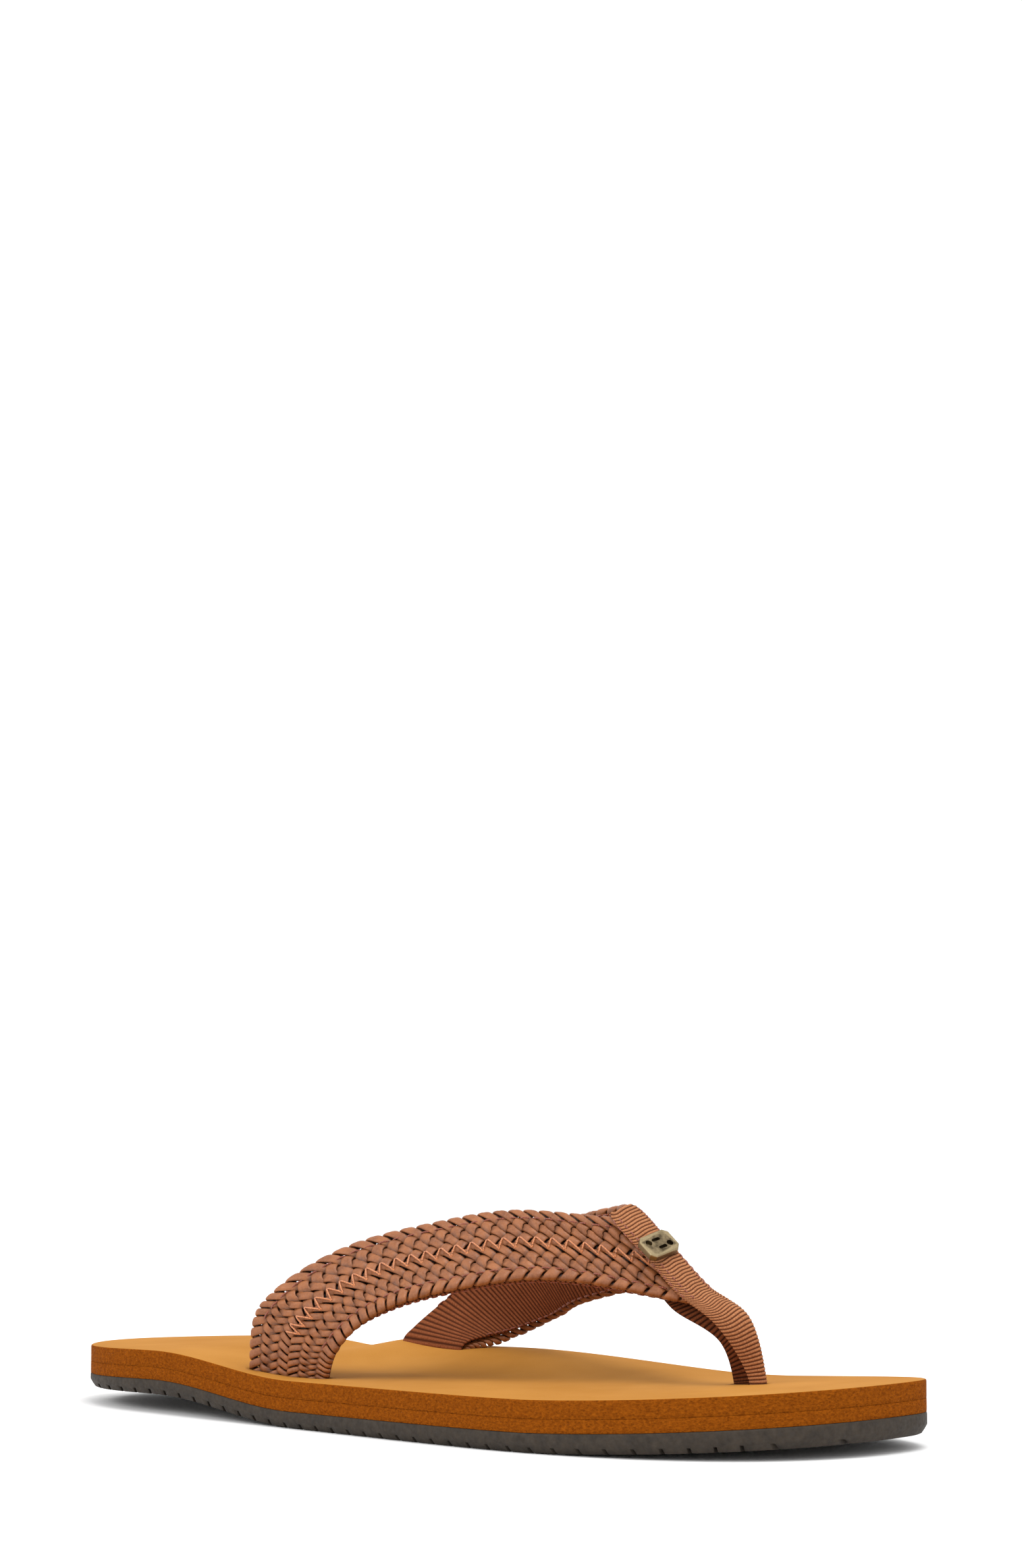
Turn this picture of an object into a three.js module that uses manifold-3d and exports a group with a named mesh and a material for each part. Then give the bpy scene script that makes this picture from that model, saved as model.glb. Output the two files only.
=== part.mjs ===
// Flip flop for the right foot: a laminated foam sole on a rubber outsole, and two straps of
// flat leather plait that meet under a folded webbing band, which runs down as the toe thong.
// Millimetres, +Z up. The toe points along -Y and the outer side of the foot along -X.
// The origin is under the middle of the sole, on the ground.
import * as THREE from "three";
import { mergeVertices } from "three/addons/utils/BufferGeometryUtils.js";
import Module from "manifold-3d";

const wasm = await Module();
wasm.setup();

// ---- Driving dimensions -------------------------------------------------------------------
// Lengths along the sole are measured from the back of the heel, and distances across it from
// the heel's middle line, positive towards the outer side.
const SOLE_LENGTH = 290;
const HEEL_AT = 50; // widest point of the heel
const HEEL_OUT = 37.2;
const HEEL_IN = 37.4;
const WAIST_AT = 93; // narrowest point of the inner side
const WAIST_IN = 36.6;
const BALL_OUT_FROM_TOE = 93;
const BALL_OUT = 51.3;
const BALL_IN_FROM_TOE = 68.5;
const BALL_IN = 50.7;
const TOE_TIP_IN = 19.5; // the toe's tip lies towards the big toe

const OUTSOLE_HEEL = 4.2;
const OUTSOLE_TOE = 5.8;
const MIDSOLE = 3.4;
const FOOTBED = 4.9;
const GLUE_LINE = 0.3;
const RIM_BEVEL = 1.8;
const HEEL_LIFT = 4.6;
const ARCH_LIFT = 5.6;
const ARCH_LIFT_AT = 55;
const FLAT_FROM = 118; // the underside touches the ground from here
const FLAT_TO_FROM_TOE = 82; // and up to here
const TOE_LIFT = 4.1;
const ARCH_RISE = 5.4; // the footbed's raised inner edge
const ARCH_STARTS = 76;
const ARCH_TOP_FROM = 99;
const ARCH_TOP_TO = 135;
const ARCH_ENDS = 232;

const GROOVE_PITCH = 14;
const GROOVE_WIDTH = 2.4;
const GROOVE_DEPTH = 1.4;

const STRAP_WIDTH = 28;
const PLAIT_THICK = 3;
const PLAIT_EDGE = 0.5; // thickness at a plait's edge, as a share of its middle
const PLAIT_GAP = 0.6; // between the two plaits of one strap
const LINING_THICK = 1.2;
const LINING_INSET = 0.9;
const LAYER_GAP = 0.3;
const THREAD_GAP = 0.15;
const THREAD_RISE = 3.2; // above the footbed, where the straps' threads start
const THREAD_WIDTH = 0.7;
const THREAD_THICK = 0.45;
const EDGE_SEAM_INSET = 3.2;
const ZIGZAG_WIDTH = 4.4;
const ZIGZAG_STEP = 4.6;

const OUTER_SLOT_AT = 108;
const OUTER_SLOT_IN_REAR = 8.3; // from the sole's edge to the strap, at its rear corner
const OUTER_SLOT_IN_FRONT = 14;
const INNER_SLOT_AT = 110;
const INNER_SLOT_IN_REAR = 5.3;
const INNER_SLOT_IN_FRONT = 10.9;
const SLOT_CLEAR = 1.4;
const TAIL_CLEAR = 1.2; // between a strap's tail and the anchor under it

const THONG_FROM_TOE = 50.5; // from the toe's tip to the middle of the thong's slot
const THONG_IN = 14.5;
const THONG_DEPTH = 4; // half the folded webbing's size along the sole
const THONG_HALF = 2.7; // half the folded webbing's size across the sole
const APEX_REAR_BACK = 42.8; // from the thong's slot back to the band's rear end
const APEX_FRONT_BACK = 16.3; // and back to the straps' front edges
const APEX_REAR_HEIGHT = 44.6; // above the footbed at the thong
const APEX_FRONT_HEIGHT = 21;
const INNER_APEX_RAISE = 1; // the inner strap's end lies this much higher than the outer one's
const APEX_OUT = 2.4; // from the thong's middle to the outer strap's end
const APEX_IN = 1.2; // and from there to the inner strap's end

const BAND_OVER_OUTER = [0.9, 1.7]; // how far the band laps over each strap, rear and front
const BAND_OVER_INNER = [0.3, 3.2];
const BAND_THICK = 1.3;
const BAND_CROWN = 0.5;
const BAND_WRAP = 0.035; // how far the band folds over the straps' rear edges, as a share of them
const RIBBON_THICK = 1.1;
const RIBBON_OUTER = 3.4; // how far it reaches under each strap
const RIBBON_INNER = 1.2;
const RIBBON_Q = [0.72, 1.03]; // it starts and leaves this far down the straps' ends
const RIBBON_BEHIND = [[10.3, 9.6, 9.4], [2, 2, 2]]; // its edges behind the crown of the fold
const THONG_SWELL = [0, 0.4, 1, 0.9, 0.7]; // how far each line of the thong bows out

const ANCHOR_THICK = 1.8;
const STRAP_ANCHOR = [40, 17];
const TOE_ANCHOR = [26, 20];
const ANCHOR_CLEAR = 0.5;
const ANCHOR_INSET = 3; // from the sole's edge to a strap's anchor

const BADGE = [11, 8, 1.9]; // across the band, along it, and thick
const BADGE_CROP = 1.4;
const BADGE_PLACE = 0.45; // along the band, from its rear
const BADGE_ASIDE = 1.6; // its posts stand off its middle
const BADGE_HOLE = 0.85;
const BADGE_HOLE_STEP = 2.8;
const BADGE_HOLE_ALONG = 1.9; // the row of holes lies this far off its middle
const POST_RADIUS = 0.6;
const POST_SPACING = 2.6;
const POST_CLEAR = 0.3;
const WASHER = [5.2, 2.6, 0.7];
const WASHER_CROP = 0.4;
const WASHER_DROP = 0.5; // below the underside of the crown

// ---- Small helpers -------------------------------------------------------------------------
const mix = THREE.MathUtils.lerp;
const smooth = (x, from, to) => THREE.MathUtils.smoothstep(x, from, to);
const place = (along, out, up) => new THREE.Vector3(-out, SOLE_LENGTH / 2 - along, up);

// One closed body between a lower and an upper surface, both given over the same grid.
function shell(rows, cols, lower, upper) {
  const position = [];
  const stride = cols + 1;
  for (const surface of [lower, upper])
    for (let i = 0; i <= rows; i++)
      for (let j = 0; j <= cols; j++) position.push(...surface(i / rows, j / cols).toArray());
  const top = (rows + 1) * stride;
  const index = [];
  const quad = (a, b, c, d) => index.push(a, b, c, a, c, d);
  for (let i = 0; i < rows; i++)
    for (let j = 0; j < cols; j++) {
      const k = i * stride + j;
      quad(k, k + 1, k + stride + 1, k + stride);
      quad(top + k, top + k + stride, top + k + stride + 1, top + k + 1);
    }
  const wall = (a, b) => quad(a, b, top + b, top + a);
  for (let i = 0; i < rows; i++) {
    wall(i * stride, (i + 1) * stride);
    wall((i + 1) * stride + cols, i * stride + cols);
  }
  for (let j = 0; j < cols; j++) {
    wall(j + 1, j);
    wall(rows * stride + j, rows * stride + j + 1);
  }
  const geometry = new THREE.BufferGeometry();
  geometry.setAttribute("position", new THREE.Float32BufferAttribute(position, 3));
  geometry.setIndex(index);
  return facingOut(mergeVertices(geometry, 1e-4));
}

// Drops the triangles that merging has closed up, and turns the faces outwards.
function facingOut(geometry) {
  const old = geometry.index.array;
  const p = geometry.getAttribute("position");
  const corner = [0, 1, 2].map(() => new THREE.Vector3());
  const kept = [];
  let volume = 0;
  for (let i = 0; i < old.length; i += 3) {
    const [a, b, c] = old.slice(i, i + 3);
    if (a === b || b === c || c === a) continue;
    kept.push(a, b, c);
    [a, b, c].forEach((v, k) => corner[k].fromBufferAttribute(p, v));
    volume += corner[0].dot(corner[1].clone().cross(corner[2]));
  }
  if (volume < 0)
    for (let i = 0; i < kept.length; i += 3) [kept[i], kept[i + 1]] = [kept[i + 1], kept[i]];
  geometry.setIndex(kept);
  return geometry;
}

// The unit normal of a surface at(a, b) by small steps along and across it.
function normalAt(at, a, b) {
  const step = 1e-3;
  const along = at(Math.min(1, a + step), b).sub(at(Math.max(0, a - step), b));
  const across = at(a, b + step).sub(at(a, b - step));
  return along.cross(across).normalize();
}

// A sheet lying on a surface: between the heights low and high above it.
function sheet(rows, cols, at, low, high) {
  const raised = (height) => (a, b) =>
    at(a, b).addScaledVector(normalAt(at, a, b), typeof height === "function" ? height(b) : height);
  return shell(rows, cols, raised(low), raised(high));
}

function solid(geometry) {
  const plain = geometry.index ? geometry.toNonIndexed() : geometry.clone();
  plain.deleteAttribute("normal");
  plain.deleteAttribute("uv");
  const merged = mergeVertices(plain, 1e-4);
  const mesh = new wasm.Mesh({
    numProp: 3,
    vertProperties: merged.getAttribute("position").array,
    triVerts: new Uint32Array(merged.index.array),
  });
  return new wasm.Manifold(mesh);
}

function toGeometry(manifold) {
  const mesh = manifold.getMesh();
  const geometry = new THREE.BufferGeometry();
  geometry.setAttribute("position", new THREE.Float32BufferAttribute(mesh.vertProperties, 3));
  geometry.setIndex(Array.from(mesh.triVerts));
  return geometry;
}

const cut = (geometry, cutters) =>
  toGeometry(cutters.reduce((body, cutter) => body.subtract(solid(cutter)), solid(geometry)));

// ---- The sole's outline and heights ---------------------------------------------------------
const BALL_OUT_AT = SOLE_LENGTH - BALL_OUT_FROM_TOE;
const BALL_IN_AT = SOLE_LENGTH - BALL_IN_FROM_TOE;
const ROUND = 0.56; // handle length of a quarter round, as a share of its radius

function outlineSide(nodes) {
  const side = new THREE.CurvePath();
  for (const [from, leave, arrive, to] of nodes)
    side.add(
      new THREE.CubicBezierCurve(...[from, leave, arrive, to].map((p) => new THREE.Vector2(...p))),
    );
  return side.curves.flatMap((curve) => curve.getPoints(24));
}

const outerSide = outlineSide([
  [[0, 0], [0, ROUND * HEEL_OUT], [HEEL_AT * (1 - ROUND), HEEL_OUT - 2], [HEEL_AT, HEEL_OUT]],
  [
    [HEEL_AT, HEEL_OUT],
    [HEEL_AT + 31, HEEL_OUT + 3],
    [BALL_OUT_AT - 27, BALL_OUT],
    [BALL_OUT_AT, BALL_OUT],
  ],
  [
    [BALL_OUT_AT, BALL_OUT],
    [BALL_OUT_AT + 0.47 * BALL_OUT_FROM_TOE, BALL_OUT],
    [SOLE_LENGTH, 0.76 * (BALL_OUT + TOE_TIP_IN) - TOE_TIP_IN],
    [SOLE_LENGTH, -TOE_TIP_IN],
  ],
]);
const innerSide = outlineSide([
  [[0, 0], [0, -ROUND * HEEL_IN], [HEEL_AT * (1 - ROUND), -HEEL_IN], [HEEL_AT, -HEEL_IN]],
  [[HEEL_AT, -HEEL_IN], [HEEL_AT + 15, -HEEL_IN], [WAIST_AT - 15, -WAIST_IN], [WAIST_AT, -WAIST_IN]],
  [[WAIST_AT, -WAIST_IN], [WAIST_AT + 23, -WAIST_IN], [BALL_IN_AT - 20, -BALL_IN], [BALL_IN_AT, -BALL_IN]],
  [
    [BALL_IN_AT, -BALL_IN],
    [BALL_IN_AT + 0.5 * BALL_IN_FROM_TOE, -BALL_IN],
    [SOLE_LENGTH, -mix(TOE_TIP_IN, BALL_IN, 0.74)],
    [SOLE_LENGTH, -TOE_TIP_IN],
  ],
]);

function edgeAt(side, along) {
  const k = side.findIndex((p, i) => i > 0 && p.x >= along);
  const [a, b] = k < 1 ? side.slice(-2) : [side[k - 1], side[k]];
  return b.x > a.x ? mix(a.y, b.y, THREE.MathUtils.clamp((along - a.x) / (b.x - a.x), 0, 1)) : b.y;
}
const outerEdge = (along) => edgeAt(outerSide, along);
const innerEdge = (along) => edgeAt(innerSide, along);

function underside(along) {
  const toeSpan = Math.max(0, along - (SOLE_LENGTH - FLAT_TO_FROM_TOE)) / FLAT_TO_FROM_TOE;
  const heel = mix(HEEL_LIFT, ARCH_LIFT, smooth(along, 0, ARCH_LIFT_AT));
  return heel * (1 - smooth(along, ARCH_LIFT_AT, FLAT_FROM)) + TOE_LIFT * toeSpan ** 1.4;
}
const outsoleTop = (along) => underside(along) + mix(OUTSOLE_HEEL, OUTSOLE_TOE, along / SOLE_LENGTH);
function archRise(along, out) {
  const length = smooth(along, ARCH_STARTS, ARCH_TOP_FROM) * (1 - smooth(along, ARCH_TOP_TO, ARCH_ENDS));
  return ARCH_RISE * length * smooth(-out, -5, WAIST_IN);
}
const midsoleTop = (along, out) => outsoleTop(along) + GLUE_LINE + MIDSOLE + archRise(along, out);
const footbedTop = (along, out) => midsoleTop(along, out) + GLUE_LINE + FOOTBED;

// One layer of the sole, its lower rim drawn in by inset.
function layer(low, high, inset) {
  const surface = (height, draw) => (a, b) => {
    const spot = (SOLE_LENGTH * (1 - Math.cos(Math.PI * a))) / 2;
    const width = Math.max(0, outerEdge(spot) - innerEdge(spot) - 2 * draw);
    const middle = (outerEdge(spot) + innerEdge(spot)) / 2;
    const along = mix(draw, SOLE_LENGTH - draw, spot / SOLE_LENGTH);
    const out = middle + (b - 0.5) * width;
    return place(along, out, height(along, out));
  };
  return shell(48, 8, surface(low, inset), surface(high, 0));
}

function box(centre, size) {
  const geometry = new THREE.BoxGeometry(...size);
  geometry.translate(...centre.toArray());
  return geometry;
}

function grooves() {
  const count = Math.floor((SOLE_LENGTH - 2 * GROOVE_PITCH) / GROOVE_PITCH);
  const first = (SOLE_LENGTH - (count - 1) * GROOVE_PITCH) / 2;
  const reach = 2 * (BALL_OUT + BALL_IN);
  const depth = 10;
  return Array.from({ length: count }, (_, k) => {
    const along = first + k * GROOVE_PITCH;
    return box(place(along, 0, underside(along) + GROOVE_DEPTH - depth / 2), [reach, GROOVE_WIDTH, depth]);
  });
}

// ---- The straps' surfaces --------------------------------------------------------------------
const THONG_AT = SOLE_LENGTH - THONG_FROM_TOE;
const FOOTBED_AT_THONG = footbedTop(THONG_AT, -THONG_IN);

const onFootbed = (along, out) => [along, out, footbedTop(along, out)];
const apex = (back, out, height) => [THONG_AT - back, out - THONG_IN, FOOTBED_AT_THONG + height];

// A strap's edge: up out of its slot, then an arch to the band. Each point of the arch is a
// share of the way, and how far it stands outwards and upwards off the straight line.
function strapEdge(start, end, arch) {
  const [along, out] = start;
  const points = [[along, out, midsoleTop(along, out) + TAIL_CLEAR], start];
  for (const [share, side, up] of arch)
    points.push([0, 1, 2].map((k) => mix(start[k], end[k], share) + [0, side, up][k]));
  points.push(end);
  return new THREE.CatmullRomCurve3(points.map((p) => place(...p)));
}

const halfSlot = STRAP_WIDTH / 2;
const outerRearCorner = OUTER_SLOT_AT - halfSlot;
const outerFrontCorner = OUTER_SLOT_AT + halfSlot;
const innerRearCorner = INNER_SLOT_AT - halfSlot;
const innerFrontCorner = INNER_SLOT_AT + halfSlot;

const outerStrap = {
  name: "outer",
  side: 1,
  rear: strapEdge(
    onFootbed(outerRearCorner, outerEdge(outerRearCorner) - OUTER_SLOT_IN_REAR),
    apex(APEX_REAR_BACK, APEX_OUT, APEX_REAR_HEIGHT),
    [[0.015, 0, 15.3], [0.088, 1.2, 19.6], [0.219, -7.9, 24.7], [0.45, -9.8, 21.5], [0.66, -8.8, 16]],
  ),
  front: strapEdge(
    onFootbed(outerFrontCorner, outerEdge(outerFrontCorner) - OUTER_SLOT_IN_FRONT),
    apex(APEX_FRONT_BACK, APEX_OUT, APEX_FRONT_HEIGHT),
    [[0.03, 1.6, 6.5], [0.1, 3, 12.6], [0.2, 2.8, 16.2], [0.35, 0.7, 17.5], [0.59, -1.6, 15.4]],
  ),
};
const innerStrap = {
  name: "inner",
  side: -1,
  rear: strapEdge(
    onFootbed(innerRearCorner, innerEdge(innerRearCorner) + INNER_SLOT_IN_REAR),
    apex(APEX_REAR_BACK, APEX_IN, APEX_REAR_HEIGHT + INNER_APEX_RAISE),
    [[0.027, -2.5, 2.6], [0.134, -11.2, 9.4], [0.344, -12, 14.4], [0.572, -9, 13.2], [0.9, -7.4, 5.6]],
  ),
  front: strapEdge(
    onFootbed(innerFrontCorner, innerEdge(innerFrontCorner) + INNER_SLOT_IN_FRONT),
    apex(APEX_FRONT_BACK, APEX_IN, APEX_FRONT_HEIGHT + INNER_APEX_RAISE),
    [[0.013, -1.4, 1.3], [0.1, -8.6, 2.3], [0.266, -13, 5], [0.454, -8.2, 7.8], [0.88, -8, 6.6]],
  ),
};

// The surface between a strap's plaits and its lining: a runs up the strap from its tail, and
// b across it, from the rear edge on the inner strap and from the front edge on the outer one,
// so that the normals of both point away from the foot.
const strapSurface = (strap) => (a, b) => {
  const across = strap.side < 0 ? b : 1 - b;
  return strap.rear.getPoint(a).lerp(strap.front.getPoint(a), across);
};
const part = (surface, a0, a1, b0, b1) => (a, b) => surface(mix(a0, a1, a), mix(b0, b1, b));
const shareOfWidth = (size) => size / STRAP_WIDTH;

function plait(strap, b0, b1) {
  const crown = (b) => mix(PLAIT_EDGE, 1, Math.sin(Math.PI * THREE.MathUtils.clamp(b, 0, 1)) ** 0.6);
  const surface = part(strapSurface(strap), 0, 1, b0, b1);
  return sheet(22, 4, surface, LAYER_GAP / 2, (b) => LAYER_GAP / 2 + PLAIT_THICK * crown(b));
}

const THREAD_LOW = LAYER_GAP / 2 + PLAIT_THICK + THREAD_GAP;
const THREAD_TO = 0.955; // a thread stops before the band

// Where a strap's threads start: its first share with both edges clear of the footbed.
function threadFrom(strap) {
  const step = 0.01;
  const clear = (edge, a) => edge.getPoint(a).z > edge.points[1].z + THREAD_RISE;
  let a = 0;
  while (a < 0.5 && !(clear(strap.rear, a) && clear(strap.front, a))) a += step;
  return a;
}
const LINING_TO = 0.985;

function edgeThread(strap, middle) {
  const half = shareOfWidth(THREAD_WIDTH) / 2;
  const surface = part(strapSurface(strap), threadFrom(strap), THREAD_TO, middle - half, middle + half);
  return sheet(18, 1, surface, THREAD_LOW, THREAD_LOW + THREAD_THICK);
}

// The thread over the junction of a strap's two plaits, one leg for each stitch.
function zigzagThread(strap) {
  const surface = strapSurface(strap);
  const start = threadFrom(strap);
  const legs = Math.round((strap.front.getLength() * (THREAD_TO - start)) / ZIGZAG_STEP);
  const at = (a, b) => {
    const swing = Math.abs(((a * legs) % 2) - 1) - 0.5;
    const across = 0.5 + shareOfWidth(swing * ZIGZAG_WIDTH + (b - 0.5) * THREAD_WIDTH * Math.SQRT2);
    return surface(mix(start, THREAD_TO, a), across);
  };
  const raised = (height) => (a, b) => {
    const lift = normalAt(surface, mix(start, THREAD_TO, a), 0.5);
    return at(a, b).addScaledVector(lift, height);
  };
  return shell(legs, 1, raised(THREAD_LOW), raised(THREAD_LOW + THREAD_THICK));
}

function lining(strap) {
  const inset = shareOfWidth(LINING_INSET);
  const surface = part(strapSurface(strap), 0, LINING_TO, inset, 1 - inset);
  return sheet(22, 2, surface, -LAYER_GAP - LINING_THICK, -LAYER_GAP);
}

// The slot that a strap's tail passes through: straight down between its two corners.
function strapSlot(strap) {
  const [rear, front] = [strap.rear.points[0], strap.front.points[0]];
  const run = front.clone().sub(rear).setZ(0);
  const middle = rear.clone().add(front).multiplyScalar(0.5);
  const thickness = PLAIT_THICK + LINING_THICK + LAYER_GAP;
  const away = new THREE.Vector3(-strap.side, 0, 0).projectOnPlane(run.clone().normalize()).normalize();
  middle.addScaledVector(away, (PLAIT_THICK - LINING_THICK) / 2);
  const geometry = new THREE.BoxGeometry(run.length() + 2 * SLOT_CLEAR, thickness + 2 * SLOT_CLEAR, 40);
  geometry.rotateZ(Math.atan2(run.y, run.x));
  geometry.translate(middle.x, middle.y, middle.z);
  return geometry;
}

// ---- Anchors: patches let into the midsole under the slots --------------------------------------
function patch(middle, [length, width], grow, low, high) {
  const surface = (height) => (a, b) => {
    const along = middle[0] + (a - 0.5) * (length + 2 * grow);
    const out = middle[1] + (b - 0.5) * (width + 2 * grow);
    return place(along, out, midsoleTop(along, out) + height);
  };
  return shell(8, 2, surface(low), surface(high));
}
function strapAnchor(slotAt, edge) {
  const side = Math.sign(edge(slotAt));
  return [slotAt, edge(slotAt) - side * (ANCHOR_INSET + STRAP_ANCHOR[1] / 2)];
}
const anchors = [
  { name: "outer_strap_anchor", middle: strapAnchor(OUTER_SLOT_AT, outerEdge), size: STRAP_ANCHOR },
  { name: "inner_strap_anchor", middle: strapAnchor(INNER_SLOT_AT, innerEdge), size: STRAP_ANCHOR },
  { name: "toe_anchor", middle: [THONG_AT, -THONG_IN], size: TOE_ANCHOR },
];
const anchorBody = ({ middle, size }) => patch(middle, size, 0, -LAYER_GAP - ANCHOR_THICK, -LAYER_GAP);
const anchorPocket = ({ middle, size }) =>
  patch(middle, size, ANCHOR_CLEAR, -2 * LAYER_GAP - ANCHOR_THICK, ANCHOR_THICK);

// ---- The band over the straps' ends, which runs on as the thong --------------------------------
const BAND_LIFT = PLAIT_THICK + 2 * LAYER_GAP;

// A point above a strap near its end: back from the end by a length, q from rear to front.
function aboveStrap(strap, back, q, lift) {
  const surface = strapSurface(strap);
  const a = 1 - back / strap.front.getLength();
  const b = strap.side < 0 ? q : 1 - q;
  return surface(a, b).addScaledVector(normalAt(surface, a, b), lift);
}

// Five lengthwise lines of the band: its outer edge, the outer strap's end, the crown,
// the inner strap's end and its inner edge.
function bandSection(q, lift) {
  const line = [
    aboveStrap(outerStrap, mix(...BAND_OVER_OUTER, q), q, lift),
    aboveStrap(outerStrap, 0, q, lift),
    null,
    aboveStrap(innerStrap, 0, q, lift),
    aboveStrap(innerStrap, mix(...BAND_OVER_INNER, q), q, lift),
  ];
  const forward = apexDirection();
  const across = line[3].clone().sub(line[1]);
  const up = forward.cross(across).normalize().negate();
  if (up.z < 0) up.negate();
  line[2] = line[1].clone().lerp(line[3], 0.5).addScaledVector(up, BAND_CROWN);
  return line;
}
const apexDirection = () => outerStrap.front.getPoint(1).sub(outerStrap.rear.getPoint(1)).normalize();

// The folded webbing at the slot: a U that opens towards the heel.
const thongSection = (up) =>
  [[0.3, 0.42], [0.62, 0.46], [1, 0], [0.62, -0.46], [0.3, -0.42]].map(([along, out]) =>
    place(THONG_AT + along * THONG_DEPTH, out * THONG_HALF - THONG_IN, up),
  );
const thongMiddle = (() => {
  const [start, end] = [bandSection(1, BAND_LIFT), thongSection(FOOTBED_AT_THONG)];
  const bow = (swell) => new THREE.Vector3(-1.5, -3.2 - 2.5 * swell, 3.1 + 2 * swell);
  return start.map((p, k) => p.clone().lerp(end[k], 0.46).add(bow(THONG_SWELL[k])));
})();
const bandRows = [
  bandSection(-BAND_WRAP, LAYER_GAP),
  bandSection(-0.6 * BAND_WRAP, 0.75 * BAND_LIFT),
  bandSection(0.06, BAND_LIFT),
  bandSection(0.5, BAND_LIFT),
  bandSection(0.97, BAND_LIFT),
  thongMiddle,
  thongSection(FOOTBED_AT_THONG + 1.5),
  thongSection(midsoleTop(THONG_AT, -THONG_IN)),
];
const bandLines = [0, 1, 2, 3, 4].map(
  (k) => new THREE.CatmullRomCurve3(bandRows.map((row) => row[k])),
);
const bandSurface = (a, b) => {
  const spot = THREE.MathUtils.clamp(b, 0, 1) * 4;
  const k = Math.min(3, Math.floor(spot));
  return bandLines[k].getPoint(a).lerp(bandLines[k + 1].getPoint(a), spot - k);
};
const bandNormal = (a, b) => normalAt(bandSurface, a, THREE.MathUtils.clamp(b, 0.002, 0.998));
function bandSheet(rows, cols, [a0, a1], [b0, b1], low, high) {
  const surface = (height) => (a, b) => {
    const [x, y] = [mix(a0, a1, a), mix(b0, b1, b)];
    return bandSurface(x, y).addScaledVector(bandNormal(x, y), height);
  };
  return shell(rows, cols, surface(low), surface(high));
}
const ROW = 1 / (bandRows.length - 1);
const FOLD_ROW = 5; // the first row of the band that is folded
const BAND_SEAM = 0.07;
const BAND_SEAM_END = 5.6 * ROW;

// The ribbon inside the fold: from flat under the straps' linings to edge-on in the open side.
function innerRibbon() {
  const under = -LINING_THICK - 5 * LAYER_GAP - RIBBON_THICK / 2;
  const starts = [
    RIBBON_Q.map((q) => aboveStrap(outerStrap, RIBBON_OUTER, q, under)),
    RIBBON_Q.map((q) => aboveStrap(innerStrap, RIBBON_INNER, q, under)),
  ];
  const crown = bandLines[2];
  const outwards = place(0, 1, 0).sub(place(0, 0, 0));
  const edges = starts.map((start, k) => {
    const inFold = RIBBON_BEHIND[k].map((behind, i) => {
      const a = (FOLD_ROW + i) * ROW;
      const back = crown.getTangent(a).cross(outwards).normalize();
      return crown.getPoint(a).addScaledVector(back, behind * Math.sign(back.y));
    });
    return new THREE.CatmullRomCurve3([...start, ...inFold]);
  });
  const at = (a, b) => edges[0].getPoint(a).lerp(edges[1].getPoint(a), b);
  return sheet(20, 2, at, -RIBBON_THICK / 2, RIBBON_THICK / 2);
}

function bandThread(b) {
  const half = 0.02;
  const low = BAND_THICK + THREAD_GAP;
  return bandSheet(16, 1, [1.6 * ROW, BAND_SEAM_END], [b - half, b + half], low, low + THREAD_THICK);
}

// ---- The badge on the band -----------------------------------------------------------------------
const BADGE_ROW = mix(2, 4, BADGE_PLACE) * ROW;
function onBand(geometry, height) {
  const normal = bandNormal(BADGE_ROW, 0.5 - 1e-3).add(bandNormal(BADGE_ROW, 0.5 + 1e-3)).normalize();
  const forward = bandLines[2].getTangent(BADGE_ROW);
  const sideways = normal.clone().cross(forward).normalize();
  const turn = new THREE.Matrix4().makeBasis(sideways, forward.negate(), normal);
  const spot = bandLines[2].getPoint(BADGE_ROW).addScaledVector(normal, height);
  geometry.applyMatrix4(turn.setPosition(spot));
  return geometry;
}
function plate([length, width, thick], crop, holes) {
  const [x, y] = [length / 2, width / 2];
  const shape = new THREE.Shape();
  const corners = [[x - crop, -y], [x, crop - y], [x, y - crop], [x - crop, y]];
  const points = [...corners, ...corners.map(([cx, cy]) => [-cx, -cy])];
  points.forEach(([px, py], k) => (k ? shape.lineTo(px, py) : shape.moveTo(px, py)));
  shape.closePath();
  for (const [hx, hy, radius] of holes) {
    const hole = new THREE.Path();
    hole.absarc(hx, hy, radius, 0, 2 * Math.PI);
    shape.holes.push(hole);
  }
  return new THREE.ExtrudeGeometry(shape, { depth: thick, bevelEnabled: false, curveSegments: 6 });
}
function post(k, radius, from, to) {
  const geometry = new THREE.CylinderGeometry(radius, radius, to - from, 12);
  geometry.rotateX(Math.PI / 2);
  geometry.translate((k * POST_SPACING) / 2, 0, (from + to) / 2);
  return geometry;
}
const BADGE_BASE = BAND_THICK + LAYER_GAP;
const POST_BOTTOM = -WASHER_DROP - WASHER[2];
function badge() {
  const holes = [-1, 0, 1].map((k) => [k * BADGE_HOLE_STEP, BADGE_HOLE_ALONG, BADGE_HOLE]);
  const face = plate(BADGE, BADGE_CROP, holes);
  face.translate(-BADGE_ASIDE, 0, BADGE_BASE);
  const posts = [-1, 1].map((k) => post(k, POST_RADIUS, POST_BOTTOM, BADGE_BASE + BADGE[2] / 2));
  return onBand(toGeometry(posts.reduce((body, p) => body.add(solid(p)), solid(face))), 0);
}
function washer() {
  const holes = [-1, 1].map((k) => [(k * POST_SPACING) / 2, 0, POST_RADIUS + POST_CLEAR]);
  const geometry = plate(WASHER, WASHER_CROP, holes);
  geometry.translate(0, 0, POST_BOTTOM);
  return onBand(geometry, 0);
}
const postHoles = [-1, 1].map((k) => onBand(post(k, POST_RADIUS + POST_CLEAR, -4, 6), 0));

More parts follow.
